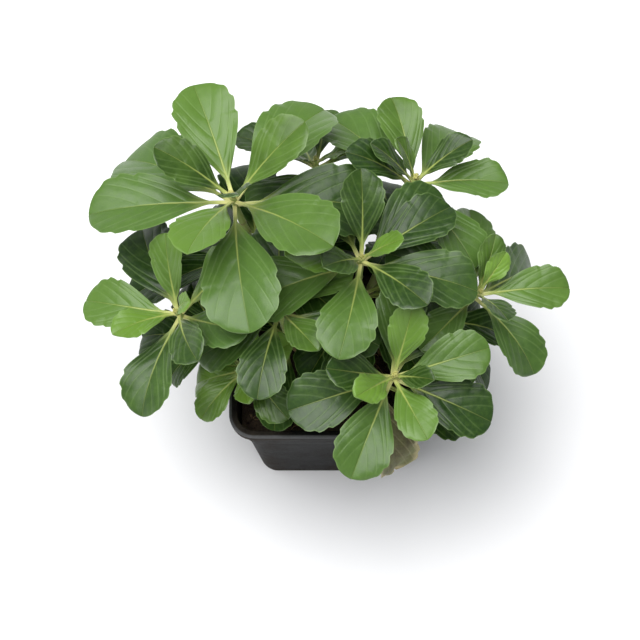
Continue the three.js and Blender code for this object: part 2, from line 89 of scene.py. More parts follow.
# Soil. Its surface has a ring at each of SOIL_SHARES of the way out, and its lumps calm from CALM_SHARE on.
SOIL_EDGE_HEIGHT = 73.0
SOIL_HEAP = 3.0
SOIL_SINK = 0.5
SOIL_SIDES = 240
SOIL_SHARES = (0.995, *np.linspace(0.975, 0.02, 60))
CALM_SHARE = 0.93
LUMP_SINK = 0.25
SOIL_EDGE_DROP = 1.2
GAP = 0.3
FOOT_GAP = 0.45

# Lumps on the soil: how wide and how high, in shares of the highest.
LUMPS = ((7.0, 1.0), (3.1, 0.55), (1.3, 0.3))

# Crumbs and fibres: how far out they lie, and the least, the spread and the power of their sizes.
CRUMB_REACH = 37.0
CRUMB_RADIUS = (0.5, 1.5, 2.5)
CRUMB_STRETCH = (0.55, 0.6)
CRUMB_SIDES = 6
CRUMB_LEVELS = (-0.62, 0.0, 0.62)
CRUMB_DENT = 0.35
DENT_SCALE = 1.7
DENT_SPREAD = 40
DENT_SEED = 5
BARK_SHARE = 0.2
FIBRE_REACH = 35.5
FIBRE_LENGTH = (3.0, 9.0, 2)
FIBRE_BEND = 2.4
FIBRE_RADIUS = (0.13, 0.17, 1)
FIBRE_STEPS = 7
FIBRE_SIDES = 3
FIBRE_EDGE = 1.2

# Stems. The first STEM_FOOT millimetres have a ring each, and the rest one for every STEM_STEP. Leaf joints
# end LAST_JOINT below the crown.
STEM_FOOT_RADIUS = 2.1
STEM_TOP_RADIUS = 1.45
STEM_FLARE = 1.45
FLARE_LENGTH = 7.0
FOOT_LEAN = 26.0
CURVE_REACH = 0.38
CURVE_STEPS = 60
CROWN_STEM = 10.0
CROWN_LEAVES = (-7.0, -2.0)
WHORL_LEAVES = (-2.5, 1.0)
STEM_SIDES = 28
STEM_STEP = 0.7
STEM_FOOT = 6
FIRST_JOINT = 9.0
LAST_JOINT = 4
JOINT_STEP = (6, 5)
JOINT_REACH = 1.1
JOINT_SWELL = 0.13
SCAR_REACH = 0.5
RIDGES = 5
RIDGE_HEIGHT = 0.03
TIP_ROUND = 1.2

# Leaves.
STALK_SHARE = 0.13
STALK_HALF = 0.95
BLADE_RISE = 1.35
BLADE_FALL = 0.6
TOOTH_TIPS = (0.6, 0.74, 0.87)
TOOTH_NOTCH = 0.04
TOOTH_DEPTH = 0.14
TOOTH_FADE = 1.6
YOUNG_NARROWING = 0.2
YOUNG_SIZE = 40
DROOP_POWER = 1.5
LEAF_FOLD = 0.4
LEAF_CURL = 0.16
PATH_STEPS = 24
GOLDEN_TURN = 137.5
SHRINK_POWER = 2.6
LIFT_POWER = 1.6
LENGTH_STRAY = 0.08
TURN_STRAY = 9.0
LIFT_STRAY = 6.0
DROOP_STRAY = 6.0
SWEEP_STRAY = 9.0
ROLL_STRAY = 12.0

# The fine shape of a blade, and the values that its points carry.
LEAF_MARKS = ("along", "across", "half", "blade", "tone", "youth")
TOP_POINTS = 25
ACROSS_POWER = 1.35
ALONG_STEPS = 50
TIP_ROWS = 7
TIP_REACH = 0.09
TOOTH_SHIFT = 0.012
ROW_GAP = 0.006
BLADE_START = (STALK_SHARE * 0.8, STALK_SHARE + 0.16)
THINNING = (0.02, STALK_SHARE + 0.14)
WAVE_TURN = 6.28
WAVE_PACE = 1.6
WAVE_LEAST = 0.5
WAVE_SLANT = 1.2
VEIN_SPREAD = 0.11
VEIN_LEAF = 16.0
RIB_SOFTNESS = 0.05
RIB_SHARE = 0.14
RIB_HEIGHT = 0.55
RIB_HALF = 0.8
RIB_END = 1.15
CROWNING = 0.25
STALK_THICKNESS = 1.6
STALK_ROUND = 2.0
BLADE_ROUND = 6.0
CRINKLE = 1.1
CRINKLE_WAVES = (17, 5)
MAP_WIDE = 2.08
MAP_TALL = 1.04
MAP_MARGIN = 0.02

# Room between leaves.
NET_STEP = 3.0
NET_FROM = 0.1
CLEAR_OTHER = 3.3
CLEAR_OWN = 2.1
CLEAR_STEM = 2.4
OWN_FROM = 0.4
CLEAR_RIM = 2.2
CLEAR_SOIL = 3.0
LOWEST_LEAF = 50.0

# The shoots, tallest first: name, foot on the soil, tip with its height above the rim, longest leaf, outward
# lean of the tip, where its first leaf points, leaves in the rosette, leaves in the lower whorl, how far that
# sits below, bud radius.
SHOOTS = (
    ("back_left", (-13, 11), (-42, 40, 74), 68, 12, 0, 11, 8, 34, 2.6),
    ("middle", (6, 5), (14, 14, 68), 54, 6, 67, 11, 8, 32, 0),
    ("back_right", (14, 17), (38, 54, 62), 52, 16, 134, 9, 7, 30, 2.2),
    ("middle_left", (-8, -4), (-22, -6, 58), 46, 8, 201, 9, 6, 30, 0),
    ("front_right", (14, -13), (28, -34, 50), 48, 12, 54, 11, 4, 24, 2.4),
    ("left", (-23, -2), (-67, -4, 50), 48, 20, 335, 9, 7, 26, 0),
    ("right", (25, 1), (66, 6, 48), 46, 22, 42, 9, 7, 25, 0),
    ("back", (-3, 24), (-6, 72, 44), 44, 22, 109, 8, 6, 24, 0),
    ("front_left", (-14, -16), (-38, -21, 28), 32, 20, 176, 9, 0, 0, 0),
)

# How leaves change from the lowest to the youngest: lift, droop, shrink and width, first and last.
ROSETTE = {"lift": (6, 58), "droop": (36, 18), "shrink": 0.5, "width": 0.57}
WHORL = {"lift": (6, 18), "droop": (46, 40), "shrink": 0.1, "width": 0.55}
OLD_SHOOT = "front_right"
OLD_LEAF = {
    "turn": -74, "lift": 16, "droop": 78, "sweep": 6, "roll": -14, "fold": 0.5, "length": 47, "width": 0.5,
}

# A leaf that finds its place taken tries these turns, each to both sides, with these lifts and shares of
# its length.
TRIES = (
    (0, 0, 1), (9, 4, 1), (0, 12, 1), (16, 0, 0.96), (0, -12, 0.96), (22, 10, 0.92), (0, 22, 0.88),
    (30, -4, 0.88), (0, -20, 0.84), (14, 26, 0.8), (45, 4, 0.84), (62, 12, 0.8), (30, 20, 0.72),
    (80, 0, 0.72),
)
SHIFTS = [(turn * way, *rest) for turn, *rest in TRIES for way in ((1, -1) if turn else (1,))]

# Side veins: where each leaves the midrib and where it ends, as shares of the leaf, how far out it ends as a
# share of the blade's greatest half width, the power by which it bends forward, and how strong it is. Those
# on the right start a little later.
SIDE_VEINS = (
    (0.17, 0.70, 0.90, 1.05, 1.0),
    (0.31, 0.82, 0.90, 1.35, 0.85),
    (0.47, 0.91, 0.74, 1.5, 0.65),
    (0.63, 0.97, 0.48, 1.6, 0.45),
)
VEIN_STAGGER = 0.035

# Buds: the radius of a growing point without one, scales of each, and how their scales change inwards.
GROWING_POINT = 1.5
BUD_SCALES = 9
POINT_SCALES = 5
SCALE = {"lift": (48, 86), "droop": (-42, -6), "length": (1.7, 1.5), "root": (-0.5, 0.3)}
SCALE_FOLD = 0.75
SCALE_WIDTH = 0.72
SCALE_THICKNESS = 0.2
SCALE_ROLL = 4
SCALE_ROWS = 9
SCALE_POINTS = 7
SCALE_END = 0.98
SCALE_FOOT = 0.14
SCALE_POWER = 0.8
SCALE_LEAST = 0.05

# How brightly young leaves show: those of a young shoot, those in a heart, by a power of their age there,
# and by chance. A higher tone makes the lower leaves darker: painted shade under the rosettes, and partly
# the deeper green that older leaves have.
YOUNG_SHOOT = 0.85
YOUNG_HEART = 0.75
HEART_POWER = 2.2
YOUNG_CHANCE = 0.16
LOWER_SHADE_TONE = 1.45

STREAM_FACTOR = 48271
STREAM_PRIME = 2147483647
SEEDS = {"plant": 2077, "crumbs": 911, "fibres": 417, "stems": 73, "leaves": 5501, "buds": 3301}
NOISE_WAVES = (127.1, 311.7, 74.7)
SEED_WAVE = 53.3
NOISE_FACTOR = 43758.5453

# How strongly each surface reflects, how much it bends light, and how deep its grain is, in metres.
FRESH_GLOSS = 0.42
# Lower leaves shine less than the others so that they look shaded: painted shade.
SHADED_LOWER_GLOSS = 0.07
PLASTIC_GLOSS = 0.03
PLANT_IOR = 1.45
PLASTIC_IOR = 1.5
SOIL_IOR = 1.4
GRAIN = {"leaf": 0.00028, "old_leaf": 0.0005, "stem": 0.0003, "bud": 0.0002, "soil": 0.0012, "pot": 0.00022}

# Stage: lamps with their place and size in metres and their power in watts.
LAMPS = (("key_light", (-0.48, 0.15, 2.4), 2.75, 112.0), ("front_light", (0.3, -1.5, 0.8), 1.2, 3.0))
ROOM_COLOUR = (0.93, 0.96, 1.0, 1.0)
ROOM_STRENGTH = 0.25
PLANT_MIDDLE = (0.0, 0.0, 0.1)
CAMERA_TARGET = (-0.004, 0.004, 0.105)
SENSOR_WIDTH = 36.0
FLOOR_SIDES = 96
FLOOR_REACH = 3.0
FLOOR_BEND = 1.0
FLOOR_WALL = 1.6


def mix(a, b, t):
    return a + (b - a) * t


def smooth(x, low, high):
    """0 below low, 1 above high, and a cubic ease between them."""
    t = np.clip((x - low) / (high - low), 0, 1)
    return t * t * (3 - 2 * t)


def around(sides):
    """Angles evenly spread round a circle."""
    return np.arange(sides) * 2 * math.pi / sides


def sized(drawn, least, spread, power):
    """Sizes from draws: the least, and a share of the spread by a power of the draw."""
    return least + spread * drawn ** power


class Stream:
    """Repeatable numbers between 0 and 1: each is the last times a factor, left over a large prime."""

    def __init__(self, purpose):
        self.state = SEEDS[purpose]

    def draw(self):
        self.state = self.state * STREAM_FACTOR % STREAM_PRIME
        return self.state / STREAM_PRIME

    def table(self, rows, columns):
        return np.array([self.draw() for _ in range(rows * columns)]).reshape(rows, columns)


# The plant's rule.


def wall_half(z):
    """Half the pot's outer width at a height: a straight taper with a step at the shoulder."""
    slope = (RIM_HALF - RIM_LIP - SHOULDER_STEP - BASE_HALF) / POT_HEIGHT
    return BASE_HALF + slope * z + np.where(np.asarray(z) > SHOULDER_HEIGHT, SHOULDER_STEP, 0)


def soil_height(x, y):
    """Height of the soil: the heap times one minus the squared share of the way to the wall."""
    reach = np.maximum(np.abs(x), np.abs(y)) / wall_half(SOIL_EDGE_HEIGHT)
    return SOIL_EDGE_HEIGHT + SOIL_HEAP * (1 - reach * reach)


def leaning(way, lean):
    out = math.sin(lean * DEG)
    return np.array([math.cos(way) * out, math.sin(way) * out, math.cos(lean * DEG)])


class Shoot:
    """One shoot: a cubic curve from its foot on the soil to its tip, measured along its length."""

    def __init__(self, name, foot, tip, size, lean, turn, leaves, whorl, drop, bud):
        self.name, self.size, self.turn = name, size, turn
        self.leaves, self.whorl, self.bud = leaves, whorl, bud
        a = np.array([foot[0], foot[1], float(soil_height(*foot)) + FOOT_GAP])
        d = np.array([tip[0], tip[1], POT_HEIGHT + tip[2]], float)
        way = math.atan2(d[1] - a[1], d[0] - a[0])
        reach = np.linalg.norm(d - a) * CURVE_REACH
        b = a + leaning(way, FOOT_LEAN) * reach
        c = d - leaning(way, lean) * reach
        t = (np.arange(CURVE_STEPS + 1) / CURVE_STEPS)[:, None]
        self.points = a * (1 - t) ** 3 + 3 * b * t * (1 - t) ** 2 + 3 * c * t ** 2 * (1 - t) + d * t ** 3
        steps = np.linalg.norm(np.diff(self.points, axis=0), axis=1)
        self.lengths = np.concatenate([[0.0], np.cumsum(steps)])
        self.total = self.lengths[-1]
        self.middle = self.total - CROWN_STEM - drop
        self.grown = []

    def along(self, distance):
        """The point and the direction at a distance from the foot, in straight steps between points."""
        i = int(np.clip(np.searchsorted(self.lengths, distance) - 1, 0, CURVE_STEPS - 1))
        share = (distance - self.lengths[i]) / (self.lengths[i + 1] - self.lengths[i])
        point = mix(self.points[i], self.points[i + 1], share)
        way = self.points[min(i + 2, CURVE_STEPS)] - self.points[max(i - 1, 0)]
        return point, way / np.linalg.norm(way)

    def radius(self, distance):
        """Half the stem's thickness: an even taper, times a flare that dies away above the foot."""
        taper = mix(STEM_FOOT_RADIUS, STEM_TOP_RADIUS, distance / self.total)
        return taper * (1 + (STEM_FLARE - 1) * np.maximum(0, 1 - distance / FLARE_LENGTH) ** 2)


def half_width(leaf, u, shift=0.0):
    """Half the leaf's width: the stalk, or a blade that rises by one power of the way along and falls by
    another, cut behind each tooth by a notch that fades to the next by a power of the way left. shift moves
    the teeth, so that the two margins differ."""
    s = np.clip((u - STALK_SHARE) / (1 - STALK_SHARE), 0, 1)
    peak = BLADE_RISE / (BLADE_RISE + BLADE_FALL)
    full = (s / peak) ** BLADE_RISE * ((1 - s) / (1 - peak)) ** BLADE_FALL
    cut = np.zeros_like(s)
    tips = [tip + shift for tip in TOOTH_TIPS]
    for first, last in zip(tips, tips[1:] + [1.0]):
        fade = (np.maximum(last - s, 0) / (last - first)) ** TOOTH_FADE
        drop = np.minimum((s - first) / TOOTH_NOTCH, 1) * fade
        cut = np.where((s > first) & (s < last), TOOTH_DEPTH * drop, cut)
    width = np.maximum(STALK_HALF * (1 - s * s), leaf["half"] * full * (1 - cut))
    return np.where(u <= STALK_SHARE, STALK_HALF, width)


def leaf_axes(leaf, u):
    """Directions along a leaf: onward, left, and up out of its face. The pitch falls with a power of the way
    along, and the leaf bends and rolls evenly."""
    pitch = (leaf["lift"] - leaf["droop"] * u ** DROOP_POWER) * DEG
    bend = leaf["sweep"] * u * DEG
    roll = leaf["roll"] * u * DEG
    way = np.stack([np.cos(pitch) * np.cos(bend), np.cos(pitch) * np.sin(bend), np.sin(pitch)], -1)
    flat = np.stack([-np.sin(bend), np.cos(bend), np.zeros_like(bend)], -1)
    up = np.cross(way, flat)
    cosine, sine = np.cos(roll)[..., None], np.sin(roll)[..., None]
    return way, flat * cosine + up * sine, up * cosine - flat * sine


def finish_leaf(leaf, width):
    """Completes a leaf with its half width and its midrib, summed from short steps along its direction."""
    leaf["half"] = leaf["length"] * width / 2
    way, _, _ = leaf_axes(leaf, (np.arange(PATH_STEPS) + 0.5) / PATH_STEPS)
    rib = np.cumsum(way * leaf["length"] / PATH_STEPS, axis=0)
    leaf["rib"] = np.concatenate([np.zeros((1, 3)), rib])
    return leaf


def place_on_shoot(leaf, points):
    """Turns points about the shoot, tilts them from upright to its direction and moves them to the root."""
    cosine, sine = math.cos(leaf["turn"] * DEG), math.sin(leaf["turn"] * DEG)
    x, y, z = points[..., 0], points[..., 1], points[..., 2]
    turned = np.stack([x * cosine - y * sine, x * sine + y * cosine, z], -1)
    way = leaf["way"]
    side = np.array([-way[1], way[0], 0.0])
    tilted = turned * way[2] + np.cross(side, turned) + side * (turned @ side / (1 + way[2]))[..., None]
    return tilted + leaf["root"]


def leaf_points(leaf, u, v, width=None, rise=0.0):
    """Points on a leaf: u along it, v across it from -1 to 1. The section folds up as the distance from the
    midrib and curls down as its square, and rise is added out of the face."""
    u, v = np.broadcast_arrays(np.asarray(u, float), np.asarray(v, float))
    place = np.minimum(u * PATH_STEPS, PATH_STEPS - 1e-9)
    k = np.floor(place).astype(int)
    centre = mix(leaf["rib"][k], leaf["rib"][k + 1], (place - k)[..., None])
    _, left, face = leaf_axes(leaf, u)
    if width is None:
        width = half_width(leaf, u)
    lift = width * (leaf["fold"] * np.abs(v) - LEAF_CURL * v * v) + rise
    return place_on_shoot(leaf, centre + left * (v * width)[..., None] + face * lift[..., None])


def leaf_net(leaf):
    """The net of points that stands for a leaf when neighbours are tested for room: equal steps each way."""
    rows = math.ceil(leaf["length"] * (1 - NET_FROM) / NET_STEP)
    us, vs = [], []
    for r in range(rows + 1):
        u = NET_FROM + (1 - NET_FROM) * r / rows
        columns = max(1, math.ceil(2 * float(half_width(leaf, np.array(u))) / NET_STEP))
        us += [u] * (columns + 1)
        vs += [2 * c / columns - 1 for c in range(columns + 1)]
    us = np.array(us)
    return us, leaf_points(leaf, us, np.array(vs))


def clear_of_pot(points):
    """True where a net stays over the soil, over the rim, and off the ground beyond it."""
    x, y, z = points.T
    reach = np.maximum(np.abs(x), np.abs(y))
    over_soil = z > soil_height(x, y) + CLEAR_SOIL
    beyond = z > np.where(reach > RIM_HALF + CLEAR_SOIL, LOWEST_LEAF, POT_HEIGHT + CLEAR_RIM)
    return bool(np.where(reach < wall_half(POT_HEIGHT) - POT_WALL - CLEAR_SOIL, over_soil, beyond).all())


def nearest(a, b):
    return np.linalg.norm(a[:, None] - b[None], axis=2)


class Plant:
    """All shoots with their leaves, grown by the seeded rule: rosettes first, then the lower whorls."""

    def __init__(self):
        self.stream = Stream("plant")
        self.shoots = [Shoot(*row) for row in SHOOTS]
        self.placed, self.stems = [], []
        for shoot in self.shoots:
            marks = np.arange(0, shoot.total + 1e-9, NET_STEP)
            self.stems.append((shoot, np.array([shoot.along(m)[0] for m in marks]), shoot.radius(marks)))
        for shoot in self.shoots:
            self.grow(shoot, "rosette", shoot.leaves, ROSETTE, *(shoot.total + end for end in CROWN_LEAVES))
        for shoot in self.shoots:
            if shoot.name == OLD_SHOOT:
                point, way = shoot.along(shoot.middle + WHORL_LEAVES[0])
                leaf = finish_leaf({"root": point, "way": way, **OLD_LEAF}, OLD_LEAF["width"])
                self.keep(shoot, "whorl", leaf, *leaf_net(leaf), old=True, age=0.0)
        for shoot in self.shoots:
            self.grow(shoot, "whorl", shoot.whorl, WHORL, *(shoot.middle + end for end in WHORL_LEAVES))

    def keep(self, shoot, mass, leaf, us, points, old, age):
        self.placed.append((shoot.name + mass, us, points, points.min(0), points.max(0)))
        leaf.update(old=old, age=age, lower=mass == "whorl")
        shoot.grown.append(leaf)

    def clear(self, us, points, shoot, mass):
        """True where a net keeps its distance from every stem and from every leaf placed before it."""
        for other, line, radii in self.stems:
            mine = points[us >= OWN_FROM] if other is shoot else points
            if (nearest(mine, line) < radii + CLEAR_STEM).any():
                return False
        low, high = points.min(0), points.max(0)
        for name, other_us, other, other_low, other_high in self.placed:
            own = name == shoot.name + mass
            room = CLEAR_OWN if own else CLEAR_OTHER
            if (low - room > other_high).any() or (high + room < other_low).any():
                continue
            mine = points[us >= OWN_FROM] if own else points
            theirs = other[other_us >= OWN_FROM] if own else other
            if (nearest(mine, theirs) < room).any():
                return False
        return True

    def grow(self, shoot, mass, count, habit, low, high):
        """Leaves of a rosette or whorl, lowest first, a golden turn apart. One with no room is left out."""
        for i in range(count):
            age = i / max(count - 1, 1)
            stray = [self.stream.draw() * 2 - 1 for _ in range(6)]
            point, way = shoot.along(mix(low, high, age))
            length = shoot.size * (1 - habit["shrink"] * age ** SHRINK_POWER) * (1 + LENGTH_STRAY * stray[0])
            for turn, lift, share in SHIFTS:
                leaf = {
                    "root": point,
                    "way": way,
                    "turn": i * GOLDEN_TURN + shoot.turn + TURN_STRAY * stray[1] + turn,
                    "lift": mix(*habit["lift"], age ** LIFT_POWER) + LIFT_STRAY * stray[2] + lift,
                    "droop": mix(*habit["droop"], age) + DROOP_STRAY * stray[3],
                    "sweep": SWEEP_STRAY * stray[4],
                    "roll": ROLL_STRAY * stray[5],
                    "fold": LEAF_FOLD,
                    "length": length * share,
                }
                finish_leaf(leaf, habit["width"] * (1 - YOUNG_NARROWING * age))
                us, points = leaf_net(leaf)
                if clear_of_pot(points) and self.clear(us, points, shoot, mass):
                    self.keep(shoot, mass, leaf, us, points, old=False, age=age)
                    break


# Meshes.


def face_rows(*groups):
    """Faces from arrays of equal-sized faces: the point numbers of all corners in one row, and how many
    corners each face has."""
    groups = [np.atleast_2d(group) for group in groups]
    row = np.concatenate([group.ravel() for group in groups])
    return row, np.concatenate([np.full(len(group), group.shape[1]) for group in groups])


def put(data, label, values, kind=np.float32):
    data.foreach_set(label, np.ascontiguousarray(values, kind).ravel())


def make_piece(name, points, faces, materials=(), marks=None, corners=None, uv=None, slots=None):
    """A mesh piece from arrays: points in millimetres, faces as face_rows gives them, attributes by point
    (marks) or by face corner (corners), a UV map by face corner, and a material index for each face."""
    row, counts = faces
    mesh = bpy.data.meshes.new(name)
    mesh.vertices.add(len(points))
    put(mesh.vertices, "co", points * MM)
    mesh.loops.add(len(row))
    put(mesh.loops, "vertex_index", row, np.int32)
    mesh.polygons.add(len(counts))
    put(mesh.polygons, "loop_start", np.cumsum(counts) - counts, np.int32)
    mesh.update(calc_edges=True)
    for domain, table in (("POINT", marks), ("CORNER", corners)):
        for label, values in (table or {}).items():
            put(mesh.attributes.new(label, "FLOAT", domain).data, "value", values)
    if uv is not None:
        put(mesh.uv_layers.new(name="OFBake").data, "uv", uv)
    put(mesh.polygons, "use_smooth", np.ones(len(counts)), bool)
    if slots is not None:
        put(mesh.polygons, "material_index", slots, np.int32)
    for material in materials:
        mesh.materials.append(material)
    mesh.validate(verbose=False)
    piece = bpy.data.objects.new(name, mesh)
    bpy.context.scene.collection.objects.link(piece)
    return piece


def dress(piece, slot, *nodes):
    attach(piece, "root")
    if nodes:
        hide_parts(*nodes)


def ring_quads(rings, size, start=0):
    """Quads between successive closed rings of one size: the grid's cells, the last column joined to the
    first."""
    r, i = np.meshgrid(np.arange(rings - 1), np.arange(size), indexing="ij")
    a = start + r * size + i
    b = start + r * size + (i + 1) % size
    return np.stack([a, b, b + size, a + size], -1).reshape(-1, 4)


def capped_tube(rings, size):
    """Faces of a tube of closed rings with a flat cap at each end, all pointing outwards when the rings turn
    anticlockwise seen from the last."""
    last = (rings - 1) * size
    return face_rows(ring_quads(rings, size), np.arange(size)[::-1], last + np.arange(size))


def merge_parts(parts):
    """Joins parts, each its points and its faces, into one: every part's point numbers are raised by how many
    points come before it."""
    points, faces = zip(*parts)
    before = np.cumsum([0] + [len(each) for each in points])
    row = np.concatenate([row + shift for (row, _), shift in zip(faces, before)])
    return np.concatenate(points), (row, np.concatenate([counts for _, counts in faces]))


def rounded_square(half, corner, size):
    """Points of a rounded square, anticlockwise, evenly spread along its outline: four straight sides of
    length 2(half - corner) and four quarter circles."""
    straight = 2 * (half - corner)
    arc = corner * math.pi / 2
    s = np.linspace(0, 4 * (straight + arc), size, endpoint=False)
    quarter = np.floor(s / (straight + arc)).astype(int)
    s = s - quarter * (straight + arc)
    on_arc = s > straight
    turn = np.where(on_arc, (s - straight) / corner, 0)
    x = np.where(on_arc, half - corner + corner * np.cos(turn), half)
    y = np.where(on_arc, half - corner + corner * np.sin(turn), s - (half - corner))
    cosine, sine = np.cos(quarter * math.pi / 2), np.sin(quarter * math.pi / 2)
    return np.stack([x * cosine - y * sine, x * sine + y * cosine], -1)


def flat_ring(half, corner, inset, z, sides=POT_SIDES):
    """A level ring: a rounded square drawn in by inset."""
    return np.column_stack([rounded_square(half - inset, corner - inset, sides), np.full(sides, z)])


def lattice_noise(x, y, z, seed):
    """Smooth noise from -1 to 1: random values on a unit lattice, eased between its corners. Each value is
    what a large multiple of a sine leaves over one."""
    low = [np.floor(each) for each in (x, y, z)]
    eased = [smooth(each - floor, 0, 1) for each, floor in zip((x, y, z), low)]
    total = 0
    for corner in product((0, 1), repeat=3):
        weight, phase = 1.0, 0.0
        for step, floor, ease, wave in zip(corner, low, eased, NOISE_WAVES):
            weight = weight * (ease if step else 1 - ease)
            phase = phase + (floor + step) * wave
        value = np.sin(phase + seed * SEED_WAVE) * NOISE_FACTOR
        total = total + weight * (value - np.floor(value))
    return 2 * total - 1


def ground_relief(x, y):
    """Lumps on the soil, -1 to 1: three sizes of noise, each about half as high as the one before."""
    zero = np.zeros_like(x)
    lumps = [high * lattice_noise(x / wide, y / wide, zero, n) for n, (wide, high) in enumerate(LUMPS, 1)]
    return sum(lumps) / sum(high for _, high in LUMPS)


# Materials.


class Wire:
    """A socket that takes part in Python arithmetic: each operator adds one Math node."""

    def __init__(self, graph, socket):
        self.graph, self.socket = graph, socket

    def maths(self, operation, other=None):
        return self.graph.node("ShaderNodeMath", {"operation": operation}, self, other)

    def __rsub__(self, other):
        return self.graph.node("ShaderNodeMath", {"operation": "SUBTRACT"}, other, self)

    __add__ = __radd__ = partialmethod(maths, "ADD")
    __mul__ = __rmul__ = partialmethod(maths, "MULTIPLY")
    __sub__ = partialmethod(maths, "SUBTRACT")
    __truediv__ = partialmethod(maths, "DIVIDE")
    __pow__ = partialmethod(maths, "POWER")
    __abs__ = partialmethod(maths, "ABSOLUTE")
    least = partialmethod(maths, "MINIMUM")
    most = partialmethod(maths, "MAXIMUM")
    over = partialmethod(maths, "GREATER_THAN")

    def ease(self, low, high):
        """0 below low and 1 above high, with an eased step between."""
        kind = {"interpolation_type": "SMOOTHSTEP"}
        return self.graph.node("ShaderNodeMapRange", kind, self, low, high, 0.0, 1.0)


class Graph:
    """The nodes of one material, added by type."""

    def __init__(self, name, looks):
        self.looks = looks
        self.material = bpy.data.materials.new(name)
        self.material.use_nodes = True
        self.tree = self.material.node_tree
        self.tree.nodes.clear()

    def node(self, kind, settings=None, *values, out=None, **named):
        """Adds a node, makes its settings, then fills its sockets in order and by name. Gives its first
        output, or the one named."""
        made = self.tree.nodes.new(kind)
        for key, value in (settings or {}).items():
            setattr(made, key, value)
        pairs = list(zip([socket for socket in made.inputs if socket.enabled], values))
        pairs += [(made.inputs[key.replace("_", " ")], value) for key, value in named.items()]
        for socket, value in pairs:
            if isinstance(value, Wire):
                self.tree.links.new(value.socket, socket)
            elif value is not None:
                socket.default_value = value
        outs = [socket for socket in made.outputs if socket.enabled and out in (None, socket.name)]
        return Wire(self, outs[0] if outs else None)

    def place(self):
        """Object coordinates, in metres."""
        return self.node("ShaderNodeTexCoord", out="Object")

    def axis(self, where, name):
        return self.node("ShaderNodeSeparateXYZ", None, where, out=name)

    def read(self, *labels):
        """The values of a mesh's attributes."""
        return [self.node("ShaderNodeAttribute", {"attribute_name": label}, out="Fac") for label in labels]

    def noise(self, scale, detail=2.0, roughness=0.5, where=None):
        """Fractal noise from 0 to 1; scale is in cells per metre."""
        sockets = {"Vector": where or self.place(), "Scale": scale, "Detail": detail, "Roughness": roughness}
        return self.node("ShaderNodeTexNoise", None, out="Fac", **sockets)

    def colour(self, name, shade=1.0):
        """A colour among the looks, darkened by a shade."""
        return (*(part * shade for part in getattr(self.looks, name)), 1.0)

    def blend(self, share, first, second):
        """Mixes two colours by a share. A colour is a wire, its own values or a name among the looks."""
        pair = [self.colour(each) if isinstance(each, str) else each for each in (first, second)]
        return self.node("ShaderNodeMix", {"data_type": "RGBA", "clamp_factor": True}, share, *pair)

    def coats(self, base, *coats):
        """A colour under others, each laid over what is below it by its share."""
        for share, coat in coats:
            base = self.blend(share, base, coat)
        return base

    def finish(self, base, roughness, height=None, depth=0.0, **fixed):
        """The surface shader, with a bump of a real depth in metres."""
        if height is not None:
            fixed["Normal"] = self.node("ShaderNodeBump", None, Strength=1.0, Distance=depth, Height=height)
        shader = self.node("ShaderNodeBsdfPrincipled", None, Base_Color=base, Roughness=roughness, **fixed)
        self.node("ShaderNodeOutputMaterial", None, Surface=shader)
        return self.material


def vein_share(along, across, half, blade):
    """How much of a spot is vein, 0 to 1: a vein's distance from the midrib is one minus a power of the way
    left to its end, and a spot counts by its distance from the nearest vein in millimetres."""
    right = across.over(0.0)
    out = abs(across) * half / blade
    found = None
    for start, end, reach, power, strength in SIDE_VEINS:
        share = ((along - (right * VEIN_STAGGER + start)) / (end - start)).most(0.0).least(1.0)
        gap = abs(out - (1.0 - (1.0 - share) ** power) * reach) * blade
        here = (1.0 - gap.ease(0.1, 0.6)) * share.ease(0.0, 0.06) * (1.0 - share.ease(0.75, 1.0)) * strength
        found = here if found is None else found.most(here)
    return found


def leaf_material(name, looks, gloss):
    """Green leaves: deep green with paler veins, a yellow-green stalk and midrib, young leaves brighter, a
    paler, duller underside, and darker patches at random. On the lower leaves the darker colour is painted
    shade, and partly the deeper green of older leaves. gloss is how strongly they shine."""
    g = Graph(name, looks)
    along, across, half, blade, tone, youth, side = g.read(*LEAF_MARKS, "side")
    veins = vein_share(along, across, half, blade)
    gap = abs(across) * half
    rib = 1.0 - (gap / (1.25 - along)).ease(0.15, 0.7)
    rim = 1.0 - (half - gap).ease(0.1, 0.7)
    broad = g.noise(60.0)
    fine = g.noise(420.0, 3.0, 0.6)
    pores = g.noise(2600.0, 2.0, 0.6)
    leaf = g.coats(
        g.blend(youth, "leaf", "young_leaf"),
        # Darker patches at random. The lower leaves, whose tone is raised, are nearly all this darker colour:
        # painted shade, and partly the deeper green of older leaves.
        ((broad * 0.8 + tone * 0.75 - 0.08).ease(0.0, 1.0) * 0.9, "leaf_shade"),
        ((fine - 0.42) * 0.4, "young_leaf"),
        (veins * 0.28, "veins"),
        (rim * along.ease(0.25, 0.5) * 0.5, "veins"),
        (rib * (1.0 - along.ease(0.2, 0.85) * 0.8), "stalk"),
        ((1.0 - along.ease(0.1, 0.34)) * 0.9, "stalk"),
        (1.0 - along.ease(0.02, 0.19), "heart"),
        ((1.0 - side) * (0.55 - youth * 0.4), "underside"),
    )
    roughness = 0.36 + (fine - 0.5) * 0.16 + veins * 0.06 + (1.0 - side) * 0.2
    height = pores * 0.18 + fine * 0.2 - (veins * 0.35 + rib * 0.5) * (side * 2.0 - 1.0)
    return g.finish(leaf, roughness, height, GRAIN["leaf"], IOR=PLANT_IOR, Specular_IOR_Level=gloss)


